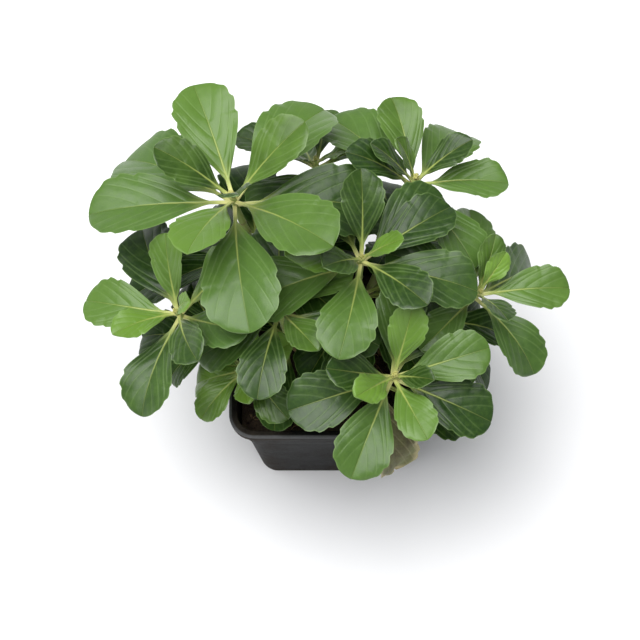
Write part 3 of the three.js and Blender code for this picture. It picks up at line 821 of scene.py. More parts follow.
def old_leaf_material(looks):
    """A withered leaf: olive and brown with a dry cream margin, dull and puckered."""
    g = Graph("withered_leaf", looks)
    along, across, half, blade = g.read(*LEAF_MARKS[:4])
    veins = vein_share(along, across, half, blade)
    blotch = g.noise(140.0, 4.0, 0.65)
    fine = g.noise(900.0, 3.0, 0.6)
    edge = abs(across).ease(0.70, 0.98).most(along.ease(0.92, 0.99))
    leaf = g.coats(
        g.blend((blotch * 1.3 - 0.2).ease(0.2, 0.8), "old_leaf", "withered_leaf"),
        (edge * (0.4 + blotch * 0.8), "dead_margin"),
        (veins * 0.25, "dead_margin"),
    )
    height = blotch * 1.2 + fine * 0.5 - veins * 0.5
    return g.finish(leaf, 0.6 + (fine - 0.5) * 0.2, height, GRAIN["old_leaf"], IOR=PLANT_IOR)


def stem_material(looks):
    """Green stems that brown towards the ground, with fine ridges along them and small pale specks."""
    g = Graph("green_stem", looks)
    along, tone = g.read("along", "tone")
    streak = g.noise(700.0, 3.0, 0.6)
    patch = g.noise(120.0)
    stem = g.coats(
        g.blend((patch * 1.4 - along * 1.1).ease(0.05, 0.75), "stem", "old_stem"),
        ((streak - 0.5) * 0.7, "stalk"),
        (tone * 0.7, "old_stem"),
    )
    height = streak * 0.6 + g.noise(2200.0) * 0.4
    return g.finish(stem, 0.52 + (streak - 0.5) * 0.3, height, GRAIN["stem"], IOR=PLANT_IOR)


def bud_material(looks):
    """Buds: overlapping scales from yellow-green to tan at the tips."""
    g = Graph("bud_scales", looks)
    along, = g.read("along")
    fine = g.noise(1500.0, 3.0)
    bud = g.blend(along.ease(0.3, 1.0) * 0.75 + (fine - 0.5) * 0.3, "bud", "bud_tip")
    return g.finish(bud, 0.5, fine, GRAIN["bud"], IOR=PLANT_IOR)


def soil_material(name, looks, colour, pale):
    """Moist potting soil: dark crumbs with damp and dry patches and a rough broken surface."""
    g = Graph(name, looks)
    lumps = g.noise(260.0, 5.0, 0.7)
    grain = g.noise(1800.0, 4.0, 0.7)
    soil = g.coats(
        g.blend((lumps * 1.5 - 0.45).ease(0.0, 1.0), colour, pale),
        ((grain - 0.5) * 0.9, g.colour(colour, 0.35)),
    )
    height = lumps * 0.7 + grain * 0.6
    return g.finish(soil, 0.78 + (grain - 0.5) * 0.3, height, GRAIN["soil"], IOR=SOIL_IOR)


def rim_inset(g, where):
    """How far a spot lies inside the rim's outer edge, in metres: the corner's radius less the distance from
    the square that the corners' centres span."""
    centre = (RIM_HALF - RIM_CORNER) * MM
    x, y = ((abs(g.axis(where, name)) - centre).most(0.0) for name in "XY")
    return RIM_CORNER * MM - (x * x + y * y) ** 0.5


def pot_material(looks):
    """Black moulded plastic: soft gloss, faint draw lines up the wall, scuffs, a painted highlight as a paler
    line along the rim's rounded edges, and dried soil dust that gathers under the rim, on the shoulder and
    around the foot."""
    g = Graph("black_plastic", looks)
    where = g.place()
    height = g.axis(where, "Z")
    stretched = g.node("ShaderNodeMapping", {"vector_type": "POINT"}, where, Scale=(1.0, 1.0, 0.03))
    draw = g.noise(900.0, 3.0, 0.6, stretched)
    cloud = g.noise(45.0, 4.0, 0.6)
    speck = g.noise(1400.0, 3.0, 0.7)
    scuff = g.noise(240.0, 5.0, 0.75)
    foot = 1.0 - height.ease(0.0, 0.022)
    splash = height.ease(0.055, 0.085)
    dust = (cloud + speck * 0.5 - 0.72 + foot * 0.2 + splash * 0.12).ease(0.0, 0.5)
    # Painted highlight: a paler line along the rim's rounded outer and inner edges, where the glossy rim
    # would catch the light.
    edge = height.ease(0.0840, 0.0844) * (1.0 - rim_inset(g, where).ease(0.0009, 0.0016))
    plastic = g.coats(
        g.blend(dust * 0.32, "pot", "dust"),
        ((scuff - 0.62).ease(0.0, 0.12) * 0.2, "scuffs"),
        (edge * (0.35 + scuff * 0.9), "rim_edges"),
    )
    roughness = 0.34 + cloud * 0.12 + dust * 0.3 + (scuff - 0.5) * 0.12
    relief = draw * 0.5 + speck * 0.18 + cloud * 1.2
    shine = {"IOR": PLASTIC_IOR, "Specular_IOR_Level": PLASTIC_GLOSS}
    return g.finish(plastic, roughness, relief, GRAIN["pot"], **shine)


# Settings, each with its description and its default.
COLOURS = {
    "leaf": ("Upper side of a grown leaf", (0.056, 0.116, 0.022)),
    # The darker leaf colour: random patches, and painted shade on the lower leaves.
    "leaf_shade": ("Darker patches of a grown leaf", (0.0065, 0.0255, 0.0024)),
    "young_leaf": ("Upper side of a young leaf", (0.140, 0.262, 0.028)),
    "veins": ("Side veins of a leaf", (0.150, 0.240, 0.070)),
    "stalk": ("Leaf stalk and base of the midrib", (0.300, 0.360, 0.090)),
    "heart": ("Foot of a leaf stalk, in the heart of a rosette", (0.620, 0.600, 0.240)),
    "underside": ("Lower side of a leaf", (0.085, 0.165, 0.048)),
    "old_leaf": ("Olive part of a withered leaf", (0.120, 0.130, 0.036)),
    "withered_leaf": ("Brown part of a withered leaf", (0.062, 0.048, 0.018)),
    "dead_margin": ("Dry margin of a withered leaf", (0.430, 0.370, 0.200)),
    "stem": ("Upper part of a stem", (0.240, 0.310, 0.080)),
    "old_stem": ("Lower part of a stem", (0.170, 0.110, 0.050)),
    "bud": ("Base of a bud scale", (0.560, 0.560, 0.180)),
    "bud_tip": ("Tip of a bud scale", (0.470, 0.440, 0.150)),
    "soil": ("Moist potting soil", (0.020, 0.012, 0.007)),
    "dry_soil": ("Dry crumbs and bits of bark", (0.075, 0.046, 0.025)),
    "fibre": ("Peat and bark fibres", (0.240, 0.150, 0.075)),
    "pot": ("Black plastic", (0.0045, 0.0048, 0.005)),
    # The rim's paler edge colour is a painted highlight, not wear.
    "rim_edges": ("Worn edge of the rim", (0.115, 0.116, 0.119)),
    "scuffs": ("Rubbed patches of the plastic", (0.06, 0.06, 0.06)),
    "dust": ("Dried soil on the plastic", (0.120, 0.095, 0.070)),
    "floor": ("Pale floor", (0.84, 0.84, 0.85)),
    "floor_patches": ("Paler patches of the floor", (0.9, 0.9, 0.9)),
}
LENGTHS = {
    "leaf_thickness": ("Thickness of a blade at its middle", 0.00055),
    "vein_depth": ("How far a side vein sinks into the blade", 0.0008),
    "margin_wave": ("How far a leaf's margin waves up and down", 0.0007),
    "soil_lump": ("Height of the lumps on the soil", 0.0016),
    "camera_distance": ("Distance of the camera from the plant", 1.1),
}
COUNTS = {"crumbs": ("Loose crumbs on the soil", 520), "fibres": ("Loose fibres on the soil", 90)}
ANGLES = {"camera_elevation": ("How far the camera looks down", 68 * DEG)}
LENSES = {"camera_lens": ("Focal length in millimetres", 138.0)}


def settings(table, kind, **options):
    """A property of one kind for each line of a table, named in plain words."""
    return {
        name: kind(name=name.replace("_", " ").capitalize(), description=text, default=default, **options)
        for name, (text, default) in table.items()
    }


class SpurgeLooks(bpy.types.PropertyGroup):
    """Colours of the plant, its soil, its pot and the floor."""

    __annotations__ = settings(
        COLOURS, bpy.props.FloatVectorProperty, size=3, subtype="COLOR", min=0.0, max=1.0,
    )


class SpurgeSizes(bpy.types.PropertyGroup):
    """Sizes of the fine shapes, and the camera."""

    __annotations__ = {
        **settings(LENGTHS, bpy.props.FloatProperty, min=0.0, unit="LENGTH", subtype="DISTANCE"),
        **settings(COUNTS, bpy.props.IntProperty, min=0),
        **settings(ANGLES, bpy.props.FloatProperty, subtype="ANGLE"),
        **settings(LENSES, bpy.props.FloatProperty, min=10.0, subtype="DISTANCE_CAMERA"),
    }


# Pot.


def corner_at(z):
    return mix(BASE_CORNER, RIM_CORNER - RIM_LIP, z / POT_HEIGHT)


def wall_ring(z, inset=0.0):
    """A ring on the wall: the rounded square at that height, drawn in by inset and bowed in a little on each
    side between the corners."""
    half = float(wall_half(z))
    ring = flat_ring(half, corner_at(z), inset, z)
    out = np.abs(ring[:, :2])
    middle = np.clip(1 - (out.min(1) / (half * BOW_SHARE)) ** 2, 0, 1)
    bow = WALL_BOW * math.sin(math.pi * min(z / SHOULDER_HEIGHT, 1)) * middle
    ring[:, :2] *= (1 - bow / out.max(1))[:, None]
    return ring


def pot_rings():
    """The pot's profile from the underside, up the outer wall, over the rolled rim and down the inside."""
    skirt, mouth = POT_HEIGHT - RIM_SKIRT, float(wall_half(POT_HEIGHT)) - 0.4
    low, high = SHOULDER_HEIGHT - SHOULDER_SLOPE, SHOULDER_HEIGHT + SHOULDER_SLOPE
    rings = []
    for turn in np.radians((0, 30, 60, 90)):
        inset, z = BASE_BEVEL * (1 - math.sin(turn)), BASE_BEVEL * (1 - math.cos(turn))
        rings.append(flat_ring(BASE_HALF, BASE_CORNER, inset, z))
    rings += [wall_ring(z) for z in np.linspace(2.5, low, 18)]
    for share in (0.25, 0.5, 0.75, 1.0):
        rings.append(wall_ring(mix(low, high, share), SHOULDER_STEP * ((share > 0.5) - smooth(share, 0, 1))))
    rings += [wall_ring(z) for z in np.linspace(SHOULDER_HEIGHT + 2, skirt - 0.6, 6)]
    rings.append(wall_ring(skirt, -0.3))
    rings += [flat_ring(RIM_HALF, RIM_CORNER, inset, skirt + up) for inset, up in SKIRT_RINGS]
    for turn in np.radians(np.arange(0, 91, 15)):
        inset, down = RIM_ROUND * (1 - math.cos(turn)), RIM_ROUND * (1 - math.sin(turn))
        rings.append(flat_ring(RIM_HALF, RIM_CORNER, inset, POT_HEIGHT - down))
    rings += [flat_ring(mouth, RIM_CORNER - RIM_LIP, inset, POT_HEIGHT - down) for inset, down in MOUTH_RINGS]
    rings += [wall_ring(z, POT_WALL) for z in np.linspace(POT_HEIGHT - 1.2, high, 6)]
    rings += [wall_ring(z, POT_WALL) for z in np.linspace(low, 4, 8)]
    rings.append(flat_ring(BASE_HALF, BASE_CORNER, POT_WALL + FLOOR_FILLET, POT_FLOOR))
    return rings


def drain_drills():
    """Upright rods for the drain holes: each place in the floor, turned to all four sides."""
    turns = around(DRAIN_SIDES)
    circle = np.stack([np.cos(turns), np.sin(turns)], -1) * DRAIN_RADIUS
    drills = []
    for turn, (x, y) in product(around(4), DRAIN_PLACES):
        c, s = math.cos(turn), math.sin(turn)
        outline = circle + (x * c - y * s, x * s + y * c)
        ends = [np.column_stack([outline, np.full(DRAIN_SIDES, z)]) for z in DRILL_ENDS]
        drills.append((np.concatenate(ends), capped_tube(2, DRAIN_SIDES)))
    return drills


class SPURGE_OT_pot(bpy.types.Operator):
    """Build the pot's moulded wall, rolled rim and drained floor"""

    bl_idname = "spurge.pot"
    bl_label = "Pot"

    def execute(self, context):
        rings = pot_rings()
        faces = capped_tube(len(rings), POT_SIDES)
        material = pot_material(context.scene.spurge_looks)
        piece = make_piece("pot_shell", np.concatenate(rings), faces, [material])
        cutter = make_piece("drill", *merge_parts(drain_drills()))
        cut = piece.modifiers.new("drains", "BOOLEAN")
        cut.operation = "DIFFERENCE"
        cut.solver = "EXACT"
        cut.object = cutter
        bake_modifiers(piece)
        bpy.data.objects.remove(cutter)
        put(piece.data.polygons, "use_smooth", np.ones(len(piece.data.polygons)), bool)
        piece.data.set_sharp_from_angle(angle=CRISP_ANGLE * DEG)
        dress(piece, "pot", "pot")
        return {"FINISHED"}


def bake_modifiers(piece):
    """Applies a piece's modifiers to its mesh."""
    bpy.context.view_layer.update()
    evaluated = piece.evaluated_get(bpy.context.evaluated_depsgraph_get())
    mesh = bpy.data.meshes.new_from_object(evaluated)
    mesh.name = piece.name
    old = piece.data
    piece.modifiers.clear()
    piece.data = mesh
    bpy.data.meshes.remove(old)


# Soil.


def soil_rings(lump):
    """The soil from the pot's floor up along its wall, then inwards over lumps that calm at the edge."""
    inset = POT_WALL + GAP

    def ring(z, more=0.0):
        return flat_ring(float(wall_half(z)), corner_at(z), inset + more, z, SOIL_SIDES)

    rings = [ring(POT_FLOOR + GAP, FLOOR_FILLET)]
    rings += [ring(z) for z in np.linspace(8, SHOULDER_HEIGHT - SHOULDER_SLOPE, 8)]
    rings += [ring(SHOULDER_HEIGHT + SHOULDER_SLOPE + GAP), ring(SOIL_EDGE_HEIGHT - SOIL_EDGE_DROP)]
    for share in SOIL_SHARES:
        flat = ring(SOIL_EDGE_HEIGHT) * share
        x, y = flat[:, 0], flat[:, 1]
        relief = smooth(share, 1.0, CALM_SHARE) * lump * (ground_relief(x, y) - LUMP_SINK)
        flat[:, 2] = soil_height(x, y) - SOIL_SINK + relief
        rings.append(flat)
    return rings


def loose_spots(count, stream, reach):
    """Random places inside the pot's opening."""
    return ((stream.table(count, 2) * 2 - 1) * reach).T


def crumb_parts(count):
    """Loose crumbs: small balls of 24 faces, squashed and dented by noise, half sunk in the soil. Gives their
    parts and which of them are bark."""
    stream = Stream("crumbs")
    x, y = loose_spots(count, stream, CRUMB_REACH)
    shape = stream.table(count, 5)
    i = np.arange(CRUMB_SIDES)
    after = (i + 1) % CRUMB_SIDES
    turns = around(CRUMB_SIDES)
    rows = [[[0, 0, -1.0]]]
    for level in CRUMB_LEVELS:
        out = math.sqrt(1 - level * level)
        rows.append(np.column_stack([np.cos(turns) * out, np.sin(turns) * out, np.full(CRUMB_SIDES, level)]))
    ball = np.concatenate([*rows, [[0, 0, 1.0]]])
    top, last = len(ball) - 1, len(ball) - 1 - CRUMB_SIDES
    bottom_fan = np.stack([0 * i, 1 + after, 1 + i], -1)
    top_fan = np.stack([top + 0 * i, last + i, last + after], -1)
    faces = face_rows(bottom_fan, ring_quads(len(CRUMB_LEVELS), CRUMB_SIDES, 1), top_fan)
    radius = sized(shape[:, 0], *CRUMB_RADIUS)
    stretch = CRUMB_STRETCH[0] + CRUMB_STRETCH[1] * shape[:, 1:4]
    balls = ball[None] * (radius[:, None] * stretch)[:, None]
    spots = balls * DENT_SCALE + shape[:, None, 4:5] * DENT_SPREAD
    dents = lattice_noise(*spots.transpose(2, 0, 1), DENT_SEED)
    balls = balls * (1 + CRUMB_DENT * dents)[..., None]
    balls += np.column_stack([x, y, soil_height(x, y) - SOIL_SINK + radius * 0.25])[:, None]
    return [(each, faces) for each in balls], shape[:, 4] > 1 - BARK_SHARE


def fibre_parts(count):
    """Peat and bark fibres: thin three-sided rods that bend gently as they lie on the soil, thinned towards
    their ends by a fourth power."""
    stream = Stream("fibres")
    x, y = loose_spots(count, stream, FIBRE_REACH)
    shape = stream.table(count, 4)
    length = sized(shape[:, 0], *FIBRE_LENGTH)
    radius = sized(shape[:, 3], *FIBRE_RADIUS)
    t = np.linspace(-0.5, 0.5, FIBRE_STEPS)
    way = shape[:, 1:2] * 2 * math.pi + (shape[:, 2:3] - 0.5) * FIBRE_BEND * t
    limit = float(wall_half(SOIL_EDGE_HEIGHT)) - POT_WALL - FIBRE_EDGE
    px = np.clip(x[:, None] + length[:, None] * t * np.cos(way), -limit, limit)
    py = np.clip(y[:, None] + length[:, None] * t * np.sin(way), -limit, limit)
    pz = soil_height(px, py) - 0.1 + 0.5 * radius[:, None] + 0.5 * np.abs(ground_relief(px, py))
    thin = (radius[:, None] * (1 - (2 * t) ** 4 * 0.7))[..., None]
    beside, above = thin * np.cos(around(FIBRE_SIDES)), thin * np.sin(around(FIBRE_SIDES))
    rods = np.stack([
        px[..., None] - np.sin(way)[..., None] * beside,
        py[..., None] + np.cos(way)[..., None] * beside,
        pz[..., None] + above,
    ], -1)
    return [(rod.reshape(-1, 3), capped_tube(FIBRE_STEPS, FIBRE_SIDES)) for rod in rods]


class SPURGE_OT_soil(bpy.types.Operator):
    """Build the soil block with its broken surface, loose crumbs and fibres"""

    bl_idname = "spurge.soil"
    bl_label = "Soil"

    def execute(self, context):
        looks, sizes = context.scene.spurge_looks, context.scene.spurge_sizes
        rings = soil_rings(sizes.soil_lump / MM)
        soil = soil_material("potting_soil", looks, "soil", "dry_soil")
        block = make_piece("soil_block", np.concatenate(rings), capped_tube(len(rings), SOIL_SIDES), [soil])
        dress(block, "soil", "soil")
        kinds = [
            soil_material("dark_crumb", looks, "soil", "dry_soil"),
            soil_material("bark_crumb", looks, "dry_soil", "fibre"),
        ]
        parts, bark = crumb_parts(sizes.crumbs)
        slots = np.repeat(bark, len(parts[0][1][1]))
        dress(make_piece("soil_crumbs", *merge_parts(parts), kinds, slots=slots), "soil")
        fibre = soil_material("fibre", looks, "fibre", "dry_soil")
        dress(make_piece("soil_fibres", *merge_parts(fibre_parts(sizes.fibres)), [fibre]), "soil")
        return {"FINISHED"}


# Stems.


def leaf_joints(shoot, stream):
    """Where old leaves have dropped: joints 6 to 11 mm apart up the stem, a golden turn round each time."""
    joints, place = [], FIRST_JOINT
    while place < shoot.total - CROWN_STEM - LAST_JOINT:
        joints.append((place, (len(joints) * GOLDEN_TURN + shoot.turn) * DEG % (2 * math.pi)))
        place += JOINT_STEP[0] + JOINT_STEP[1] * stream.draw()
    return joints


def stem_part(shoot, stream):
    """One stem: circles across its path, level at the foot. Each joint swells it on one side by a bell curve
    along it, shallow sine ridges run up it, and its tip closes as a circle. Gives its points and faces, and
    how far along and how scarred each point is."""
    foot = np.linspace(0, STEM_FOOT, STEM_FOOT + 1)
    marks = np.append(foot, np.linspace(STEM_FOOT + STEM_STEP, shoot.total, int(shoot.total / STEM_STEP)))
    points, ways = (np.array(each) for each in zip(*(shoot.along(mark) for mark in marks)))
    ways[0] = (0, 0, 1)
    turns = around(STEM_SIDES)
    swell = np.zeros((len(marks), STEM_SIDES))
    scar = np.zeros(len(marks))
    for place, turn in leaf_joints(shoot, stream):
        near = np.exp(-((marks - place) / JOINT_REACH) ** 2)
        swell += JOINT_SWELL * near[:, None] * (0.45 + 0.55 * np.cos(turns - turn).clip(0))
        scar = np.maximum(scar, np.exp(-((marks - place) / SCAR_REACH) ** 2))
    ridge = RIDGE_HEIGHT * np.sin(RIDGES * turns + 1.3 * shoot.turn) * smooth(marks, 4, 15)[:, None]
    past = ((marks - shoot.total + TIP_ROUND) / TIP_ROUND).clip(0)
    closing = np.sqrt(np.clip(1 - past ** 2, 0.01, 1))
    radius = ((shoot.radius(marks) * closing)[:, None] * (1 + swell + ridge))[..., None]
    across = np.array([1.0, 0, 0]) - ways * ways[:, :1]
    across /= np.linalg.norm(across, axis=1)[:, None]
    beside = np.cross(ways, across)
    circle = across[:, None] * np.cos(turns)[:, None] + beside[:, None] * np.sin(turns)[:, None]
    rings = points[:, None] + radius * circle
    along, scars = np.repeat(marks / shoot.total, STEM_SIDES), np.repeat(scar, STEM_SIDES)
    return (rings.reshape(-1, 3), capped_tube(len(marks), STEM_SIDES)), along, scars


class SPURGE_OT_stems(bpy.types.Operator):
    """Build the stems, with swollen leaf joints, scars and fine ridges"""

    bl_idname = "spurge.stems"
    bl_label = "Stems"

    def execute(self, context):
        stream = Stream("stems")
        parts, along, scars = zip(*(stem_part(shoot, stream) for shoot in PLANT.shoots))
        marks = {"along": np.concatenate(along), "tone": np.concatenate(scars)}
        material = stem_material(context.scene.spurge_looks)
        piece = make_piece("green_stems", *merge_parts(parts), [material], marks)
        dress(piece, "stem", *sorted(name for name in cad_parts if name.endswith("_stem")))
        return {"FINISHED"}


# Leaves.


def leaf_stations():
    """Shares along a leaf where the mesh has a row: even steps, one at each tooth tip and notch, and near the
    round end ever closer ones, by the square of their number."""
    even = np.linspace(0, 1 - TIP_REACH, ALONG_STEPS)[1:]
    ends = 1 - TIP_REACH * (np.arange(TIP_ROWS - 1, 0, -1) / TIP_ROWS) ** 2
    places = product(TOOTH_TIPS, (-TOOTH_SHIFT, TOOTH_SHIFT), (0, TOOTH_NOTCH))
    teeth = [mix(STALK_SHARE, 1, sum(place)) for place in places]
    close = [u for u in np.append(even, ends) if min(abs(u - t) for t in teeth) > ROW_GAP]
    return np.append(0.0, np.sort(close + teeth))


def side_vein_height(u, v, width):
    """Depth of the side veins at a spot, 0 to 1: it falls off exponentially with the distance from each vein,
    measured in the blade's greatest half width, so that the blade bulges between them."""
    deep = np.zeros_like(u * v)
    for start, end, reach, power, strength in SIDE_VEINS:
        begin = start + np.where(v > 0, VEIN_STAGGER, 0)
        share = np.clip((u - begin) / (end - start), 0, 1)
        gap = np.abs(np.abs(v) * width - (1 - (1 - share) ** power) * reach)
        here = np.exp(-gap / VEIN_SPREAD) * smooth(share, 0, 0.12) * (1 - smooth(share, 0.7, 1.0)) * strength
        deep = np.maximum(deep, here)
    return deep


def shell_points(leaf, u, v, width, rise):
    """The points of a leaf's or scale's shell, ring by ring, and its tip."""
    tip = leaf_points(leaf, np.array([1.0]), np.array([0.0]), np.array([0.0]))
    return np.concatenate([leaf_points(leaf, u, v, width, rise).reshape(-1, 3), tip])


def shell_faces(rows, size):
    """Faces of a leaf or scale: a tube of rings that turn clockwise, flat at the root, drawn to a point."""
    i = np.arange(size)
    last = (rows - 1) * size
    point = np.stack([last + i, np.full(size, rows * size), last + (i + 1) % size], -1)
    return face_rows(ring_quads(rows, size)[:, ::-1], i, point)


def leaf_shell(leaf, stream, sizes):
    """A leaf as a closed shell over a grid of stations by positions round its section: the top face from
    left to right, then the bottom face back. Its margin waves as a sine, its section is a flattened oval,
    and a ridge stands under its midrib as a bell curve. Gives its points, faces and marks, and which faces
    are on top."""
    u = leaf_stations()
    t = np.linspace(-1, 1, TOP_POINTS)
    top = np.sign(t) * np.abs(t) ** ACROSS_POWER
    v = np.concatenate([top, top[-2:0:-1]])
    bottom = np.arange(len(v)) >= TOP_POINTS
    uu, vv = np.meshgrid(u, v, indexing="ij")
    width = half_width(leaf, uu, np.where(vv < 0, -TOOTH_SHIFT, TOOTH_SHIFT))
    share = width / leaf["half"]
    blade = smooth(uu, *BLADE_START)
    phase = stream.draw() * WAVE_TURN
    pace, strength = WAVE_PACE + stream.draw(), WAVE_LEAST + stream.draw()
    swing = np.sin(uu * WAVE_TURN * pace + phase + vv * WAVE_SLANT)
    wave = sizes.margin_wave / MM * strength * swing * vv ** 2
    pucker = sizes.vein_depth / MM * leaf["half"] / VEIN_LEAF * side_vein_height(uu, vv, share)
    soft_rib = LEAF_FOLD * RIB_SOFTNESS * width * np.exp(-(vv / RIB_SHARE) ** 2)
    relief = blade * (wave - pucker + soft_rib + CROWNING * share)
    if leaf["old"]:
        crinkle = np.sin(uu * CRINKLE_WAVES[0] + vv * CRINKLE_WAVES[1])
        relief = relief + CRINKLE * crinkle * np.abs(vv) * blade
    thick = mix(STALK_THICKNESS, sizes.leaf_thickness / MM, smooth(uu, *THINNING)) / 2
    section = thick * np.sqrt(np.clip(1 - np.abs(vv) ** mix(STALK_ROUND, BLADE_ROUND, blade), 0, 1))
    ridge = RIB_HEIGHT * (RIB_END - uu) * np.exp(-((vv * width) / RIB_HALF) ** 2) * blade
    points = shell_points(leaf, uu, vv, width, np.where(bottom[None], -section - ridge, section) + relief)
    marks = {
        "along": np.append(uu, 1.0),
        "across": np.append(vv, 0.0),
        "half": np.append(width, 0.5),
        "blade": leaf["half"],
    }
    cell_top = np.arange(len(v)) < TOP_POINTS - 1
    top_face = np.concatenate([np.tile(cell_top, len(u) - 1), [True], cell_top])
    return points, shell_faces(len(u), len(v)), marks, top_face


def mark_margins(mesh, margin):
    """Keeps a blade's margin crisp: an edge is sharp where both its points lie on the margin."""
    ends = np.empty(len(mesh.edges) * 2, np.int32)
    mesh.edges.foreach_get("vertices", ends)
    sharp = margin[ends.reshape(-1, 2)].all(1)
    put(mesh.attributes.new("sharp_edge", "BOOLEAN", "EDGE").data, "value", sharp, bool)


def leaf_map(grown, spans, marks, row, top):
    """The map of a shoot's leaves: a sheet of cells, two for each leaf, for its top and then its bottom, both
    true to shape. spans tells how many points each leaf has, row and top the point and the face of every
    corner."""
    lengths = [leaf["length"] for leaf in grown]
    wide, tall = MAP_WIDE * max(leaf["half"] for leaf in grown), MAP_TALL * max(lengths)
    cells = 2 * len(grown)
    columns = math.ceil(math.sqrt(cells * tall / wide))
    number = 2 * np.repeat(np.arange(len(grown)), spans)[row] + ~top
    x = (number % columns + 0.5) * wide + (marks["across"] * marks["half"])[row]
    y = (number // columns + MAP_MARGIN) * tall + (marks["along"] * np.repeat(lengths, spans))[row]
    return np.stack([x, y], -1) / max(columns * wide, math.ceil(cells / columns) * tall)


def foliage(shoot, materials, stream, sizes):
    """All the leaves of one shoot in one mesh, with their marks and their map."""
    parts, tops, slots = [], [], []
    marks = {key: [] for key in LEAF_MARKS}
    young_shoot = YOUNG_SHOOT if shoot.size < YOUNG_SIZE else 0.0
    for leaf in shoot.grown:
        points, faces, own, top_face = leaf_shell(leaf, stream, sizes)
        parts.append((points, faces))
        tops.append(np.repeat(top_face, faces[1]))
        slots.append(np.full(len(top_face), 2 if leaf["old"] else leaf["lower"]))
        young = max(young_shoot, 0.0 if leaf["lower"] else YOUNG_HEART * leaf["age"] ** HEART_POWER)
        own["youth"] = min(1.0, young + YOUNG_CHANCE * stream.draw())
        # A random tone, raised on the lower leaves to paint shade on them.
        own["tone"] = stream.draw() * 2 - 1 + LOWER_SHADE_TONE * leaf["lower"]
        for key, values in own.items():
            marks[key].append(np.broadcast_to(values, len(points)))
    marks = {key: np.concatenate(values) for key, values in marks.items()}
    spans = [len(points) for points, _ in parts]
    points, faces = merge_parts(parts)
    top = np.concatenate(tops)
    uv = leaf_map(shoot.grown, spans, marks, faces[0], top)
    name = shoot.name + "_leaves"
    piece = make_piece(name, points, faces, materials, marks, {"side": top}, uv, np.concatenate(slots))
    along, across = marks["along"], np.abs(marks["across"])
    mark_margins(piece.data, (across > 0.999) & (along > 0.3) | (along == 1))
    return piece


class SPURGE_OT_leaves(bpy.types.Operator):
    """Build every shoot's leaves, with toothed margins and sunken veins"""

    bl_idname = "spurge.leaves"
    bl_label = "Leaves"

    def execute(self, context):
        looks, sizes = context.scene.spurge_looks, context.scene.spurge_sizes
        materials = [
            leaf_material("fresh_leaf", looks, FRESH_GLOSS),
            # The lower leaves take a duller copy of the leaf material, as painted shade.
            leaf_material("lower_leaf", looks, SHADED_LOWER_GLOSS),
            old_leaf_material(looks),
        ]
        stream = Stream("leaves")
        for shoot in PLANT.shoots:
            masses = (shoot.name + "_rosette", shoot.name + "_whorl")
            slot = "young_leaf" if shoot.size < YOUNG_SIZE else "leaf"
            piece = foliage(shoot, materials, stream, sizes)
            dress(piece, slot, *(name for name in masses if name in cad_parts))
        return {"FINISHED"}


# Buds.


def bud_scale(shoot, number, count, stream):
    """One scale of a bud: a small leaf whose width is a power of a half sine, with a thin oval section.
    Gives its points, faces and shares along it."""
    size = shoot.bud or GROWING_POINT
    share = number / (count - 1)
    point, way = shoot.along(shoot.total)
    scale = {key: mix(*ends, share) for key, ends in SCALE.items()}
    scale.update(
        root=point + way * (scale["root"] * size), way=way, turn=number * GOLDEN_TURN + shoot.turn,
        sweep=0.0, roll=SCALE_ROLL * (stream.draw() - 0.5), fold=SCALE_FOLD, length=scale["length"] * size,
    )
    finish_leaf(scale, SCALE_WIDTH)
    across = np.linspace(-1, 1, SCALE_POINTS)
    around_section = np.append(across, across[-2:0:-1])
    u, v = np.meshgrid(np.linspace(0, SCALE_END, SCALE_ROWS), around_section, indexing="ij")
    bulge = np.sin(np.pi * np.clip(mix(SCALE_FOOT, 1, u), 0, 1)) ** SCALE_POWER
    width = scale["half"] * bulge + SCALE_LEAST
    rise = SCALE_THICKNESS * np.sqrt(np.clip(1 - v ** 4, 0, 1))
    rise[:, SCALE_POINTS:] *= -1
    return (shell_points(scale, u, v, width, rise), shell_faces(*u.shape)), np.append(u, 1.0)


class SPURGE_OT_buds(bpy.types.Operator):
    """Build the buds at the heart of the tallest rosettes and the growing points of the others"""

    bl_idname = "spurge.buds"
    bl_label = "Buds"

    def execute(self, context):
        stream = Stream("buds")
        scales = []
        for shoot in PLANT.shoots:
            count = BUD_SCALES if shoot.bud else POINT_SCALES
            scales += [bud_scale(shoot, number, count, stream) for number in range(count)]
        parts, along = zip(*scales)
        material = bud_material(context.scene.spurge_looks)
        marks = {"along": np.concatenate(along)}
        dress(make_piece("bud_scales", *merge_parts(parts), [material], marks), "young_leaf")
        return {"FINISHED"}


# Stage.


def floor_shape():
    """A round floor that curves up at its edge by a quarter circle and ends in a low wall."""
    turns = around(FLOOR_SIDES)
    bend = np.linspace(0, math.pi / 2, 13)[1:]
    flat = np.array([0.5, *np.linspace(1, FLOOR_REACH, 5)])
    edge = FLOOR_REACH + FLOOR_BEND
    reach = np.concatenate([flat, FLOOR_REACH + FLOOR_BEND * np.sin(bend), [edge]])[:, None]
    height = np.concatenate([0 * flat, FLOOR_BEND * (1 - np.cos(bend)), [FLOOR_WALL]])[:, None]
    grid = np.stack([reach * np.cos(turns), reach * np.sin(turns), height + 0 * turns], -1)
    faces = face_rows(ring_quads(len(reach), FLOOR_SIDES)[:, ::-1], np.arange(FLOOR_SIDES))
    return grid.reshape(-1, 3) / MM, faces


def floor_material(looks):
    """A matt pale floor with faint clouds."""
    g = Graph("pale_floor", looks)
    return g.finish(g.blend(g.noise(3.0) * 0.04, "floor", "floor_patches"), 0.6 + g.noise(30.0) * 0.05)


def aim(name, data, place, way):
    """Puts a lamp or camera, which look along -Z, at a place and points it along a direction with +Y up."""
    item = bpy.data.objects.new(name, data)
    item.location = place
    flat = math.hypot(way[0], way[1])
    item.rotation_euler = (math.atan2(flat, -way[2]), 0.0, math.atan2(way[1], way[0]) - math.pi / 2)
    bpy.context.scene.collection.objects.link(item)
    return item


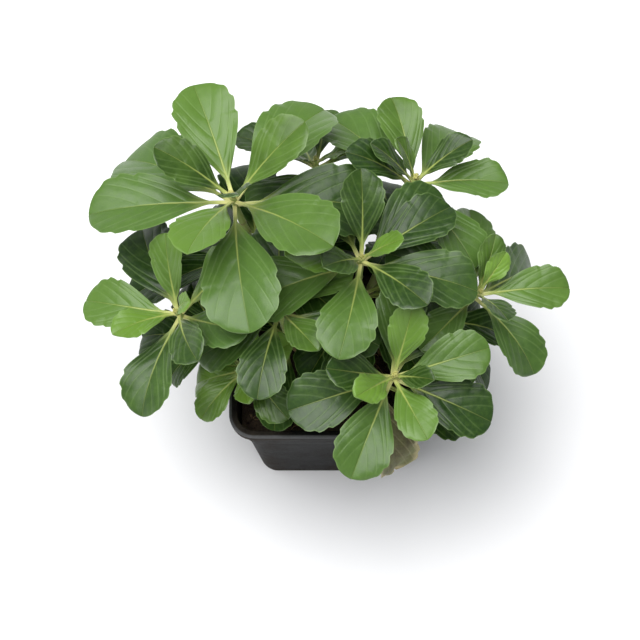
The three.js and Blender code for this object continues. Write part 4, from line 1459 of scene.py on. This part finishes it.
def add_lamp(name, place, size, power):
    light = bpy.data.lights.new(name, "AREA")
    light.shape = "DISK"
    light.size = size
    light.energy = power
    aim(name, light, place, np.subtract(PLANT_MIDDLE, place))


def add_camera(sizes):
    """A camera in front of and above the plant, aimed at the middle of its foliage."""
    lens = bpy.data.cameras.new("camera")
    lens.lens = sizes.camera_lens
    lens.sensor_width = SENSOR_WIDTH
    turn = sizes.camera_elevation
    back = np.array([0.0, -math.cos(turn), math.sin(turn)]) * sizes.camera_distance
    return aim("camera", lens, CAMERA_TARGET + back, -back)


class SPURGE_OT_stage(bpy.types.Operator):
    """Set the pale floor, the soft lights and the camera"""

    bl_idname = "spurge.stage"
    bl_label = "Stage"

    def execute(self, context):
        scene = context.scene
        scene.view_settings.view_transform = "Standard"
        scene.view_settings.look = "None"
        make_piece("floor", *floor_shape(), [floor_material(scene.spurge_looks)])
        scene.world = bpy.data.worlds.new("soft_room")
        scene.world.use_nodes = True
        room = scene.world.node_tree.nodes["Background"]
        room.inputs["Color"].default_value = ROOM_COLOUR
        room.inputs["Strength"].default_value = ROOM_STRENGTH
        for lamp in LAMPS:
            add_lamp(*lamp)
        scene.camera = add_camera(scene.spurge_sizes)
        return {"FINISHED"}


class SPURGE_PT_panel(bpy.types.Panel):
    """Lists the pieces and the settings that shape them"""

    bl_idname = "SPURGE_PT_panel"
    bl_label = "Potted spurge"
    bl_space_type = "VIEW_3D"
    bl_region_type = "UI"
    bl_category = "Spurge"

    def draw(self, context):
        for operator in OPERATORS:
            self.layout.operator(operator.bl_idname)
        for group, names in (
            (context.scene.spurge_sizes, SpurgeSizes.__annotations__),
            (context.scene.spurge_looks, SpurgeLooks.__annotations__),
        ):
            box = self.layout.box()
            for name in names:
                box.prop(group, name)


OPERATORS = (
    SPURGE_OT_stage, SPURGE_OT_pot, SPURGE_OT_soil, SPURGE_OT_stems, SPURGE_OT_leaves, SPURGE_OT_buds,
)
CLASSES = (SpurgeLooks, SpurgeSizes, *OPERATORS, SPURGE_PT_panel)
PLANT = Plant()


def register():
    for each in CLASSES:
        bpy.utils.register_class(each)
    bpy.types.Scene.spurge_looks = bpy.props.PointerProperty(type=SpurgeLooks)
    bpy.types.Scene.spurge_sizes = bpy.props.PointerProperty(type=SpurgeSizes)


def unregister():
    del bpy.types.Scene.spurge_looks
    del bpy.types.Scene.spurge_sizes
    for each in reversed(CLASSES):
        bpy.utils.unregister_class(each)


def main():
    register()
    for operator in OPERATORS:
        group, name = operator.bl_idname.split(".")
        getattr(getattr(bpy.ops, group), name)()
    bpy.context.view_layer.update()


if __name__ == "__main__":
    main()
